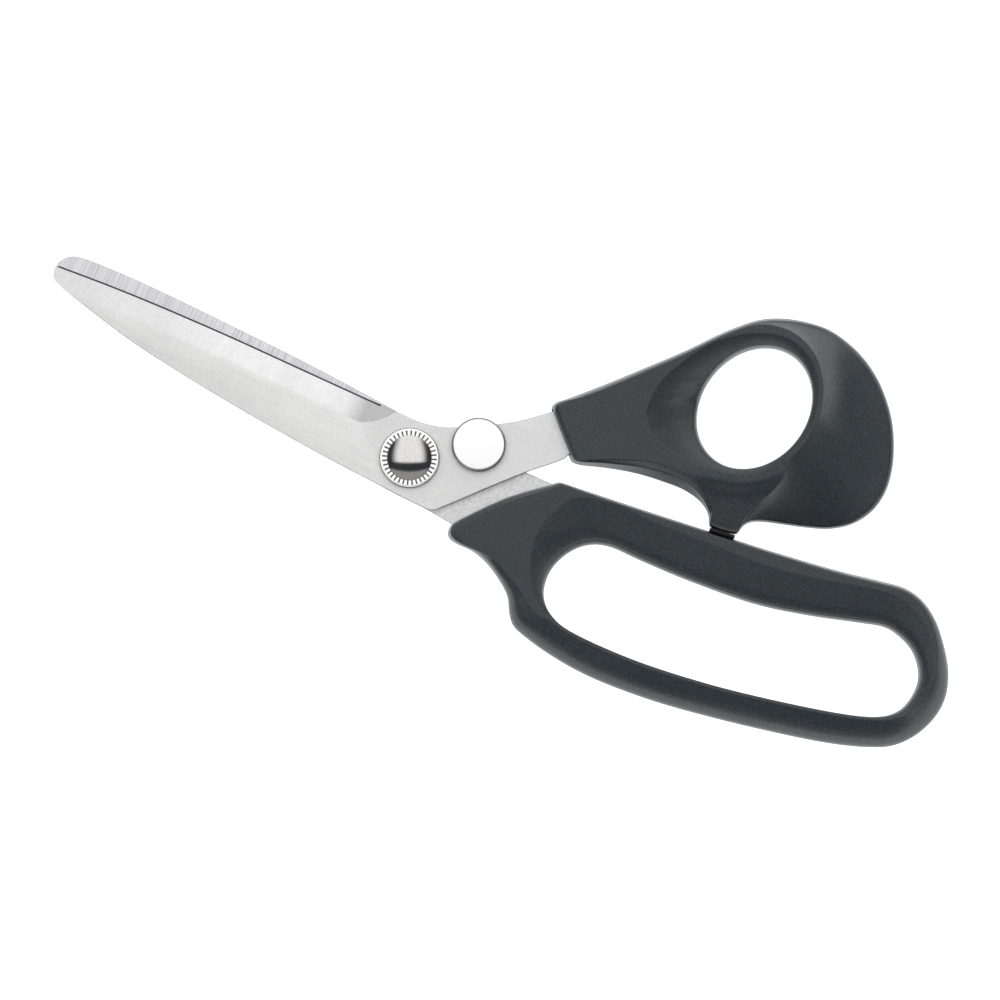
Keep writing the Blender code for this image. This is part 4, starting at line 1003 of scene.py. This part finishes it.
def make_world():
    """A white studio: a large soft light overhead, dark beyond it, and pale walls at the horizon."""
    world = bpy.data.worlds.new("studio")
    bpy.context.scene.world = world
    world.use_nodes = True
    tree = world.node_tree
    ray = add(tree, "TexCoord").outputs["Generated"]

    def along(axis):
        return add(tree, "VectorMath", {0: ray, 1: tuple(axis)}, operation="DOT_PRODUCT").outputs["Value"]

    def step(value, limits):
        inputs = {"Value": value, "From Min": limits[0], "From Max": limits[1]}
        return add(tree, "MapRange", inputs, interpolation_type="SMOOTHSTEP").outputs["Result"]

    up = along(UP)
    safe_up = maths(tree, "MAXIMUM", up, 0.05)
    side = maths(tree, "DIVIDE", along(RIGHT), safe_up)
    ahead = maths(tree, "DIVIDE", along(-DOWN), safe_up)
    apart = maths(tree, "ABSOLUTE", side)
    long_way = maths(tree, "MULTIPLY", step(ahead, LIGHT_NEAR), step(ahead, LIGHT_FAR))
    light = maths(tree, "MULTIPLY", step(apart, LIGHT_SIDE), long_way)
    colour = between(tree, step(ahead, GREY_NEAR), DARK, GREY)
    colour = between(tree, light, colour, LIGHT)
    colour = between(tree, step(up, WALL_TOP), colour, WALL)
    background = tree.nodes["Background"]
    tree.links.new(colour, background.inputs["Color"])


def make_floor():
    """A pale table that glows a little, so that the shears' shadow on it stays soft."""
    half = 2500.0
    corners = [(x * half, y * half, 0) for x, y in ((-1, -1), (1, -1), (1, 1), (-1, 1))]
    floor = new_object("floor", corners, [(0, 1, 2, 3)])
    floor.location.z = -0.0001
    made, tree, shader, coords = start_material(
        "floor_white", 0.0, Roughness=0.9, Specular_IOR_Level=0.1, Emission_Color=(1.0, 1.0, 1.0, 1.0),
        Emission_Strength=FLOOR_GLOW)
    colour = between(tree, noise(tree, coords, 3.0, 2.0), 0.50, 0.51)
    tree.links.new(colour, shader.inputs["Base Color"])
    floor.data.materials.append(made)


# ---- assembly
def coat(obj, finish):
    """Makes finish an object's only material."""
    obj.data.materials.clear()
    obj.data.materials.append(finish)


def fit(obj, node, finish=None):
    """Puts a fine piece in the place of a CAD node, on that node's body."""
    if finish:
        coat(obj, finish)
    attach(obj, BODY_OF[node])
    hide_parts(node)


def second_finish(obj, finish, chosen):
    """Gives the faces that chosen picks a finish of their own."""
    obj.data.materials.append(finish)
    for face in obj.data.polygons:
        if chosen(face):
            face.material_index = 1


def main():
    finishes = make_materials()
    front, rear = make_blades(finishes)
    fit(front, "front_blade")
    fit(rear, "rear_blade")

    nut = make_nut()
    fit(nut, "tension_nut", finishes["dial"])
    # Painted shade on the floors of the dial's grooves.
    second_finish(nut, finishes["groove"], in_groove)
    fit(make_cap(), "nut_cap", finishes["mirror"])
    finish_of = {"guide_rivet": "polished", "guide_back_disc": "back_disc", "pivot_bolt": "plain",
                 "spring_washer": "plain", "dial_washer": "washer"}
    turned = make_turned()
    for node, finish in finish_of.items():
        fit(turned[node], node, finishes[finish])
    # The disc's steep rim gets the painted shade.
    second_finish(turned["guide_rivet"], finishes["disc_rim"], lambda f: abs(f.normal.z) < DISC_SHADE_TILT)

    fit(make_pad(), "stop_pad", finishes["rubber"])
    thumb, finger = make_handles()
    fit(thumb, "thumb_handle", finishes["plastic"])
    fit(finger, "finger_handle", finishes["plastic"])
    for node, finish in (("pivot_bush", "bronze"), ("blade_washer", "nylon")):
        coat(frame["nodes"][node], finishes[finish])

    make_camera()
    make_world()
    make_floor()
    bpy.context.scene.view_settings.view_transform = "Standard"


main()
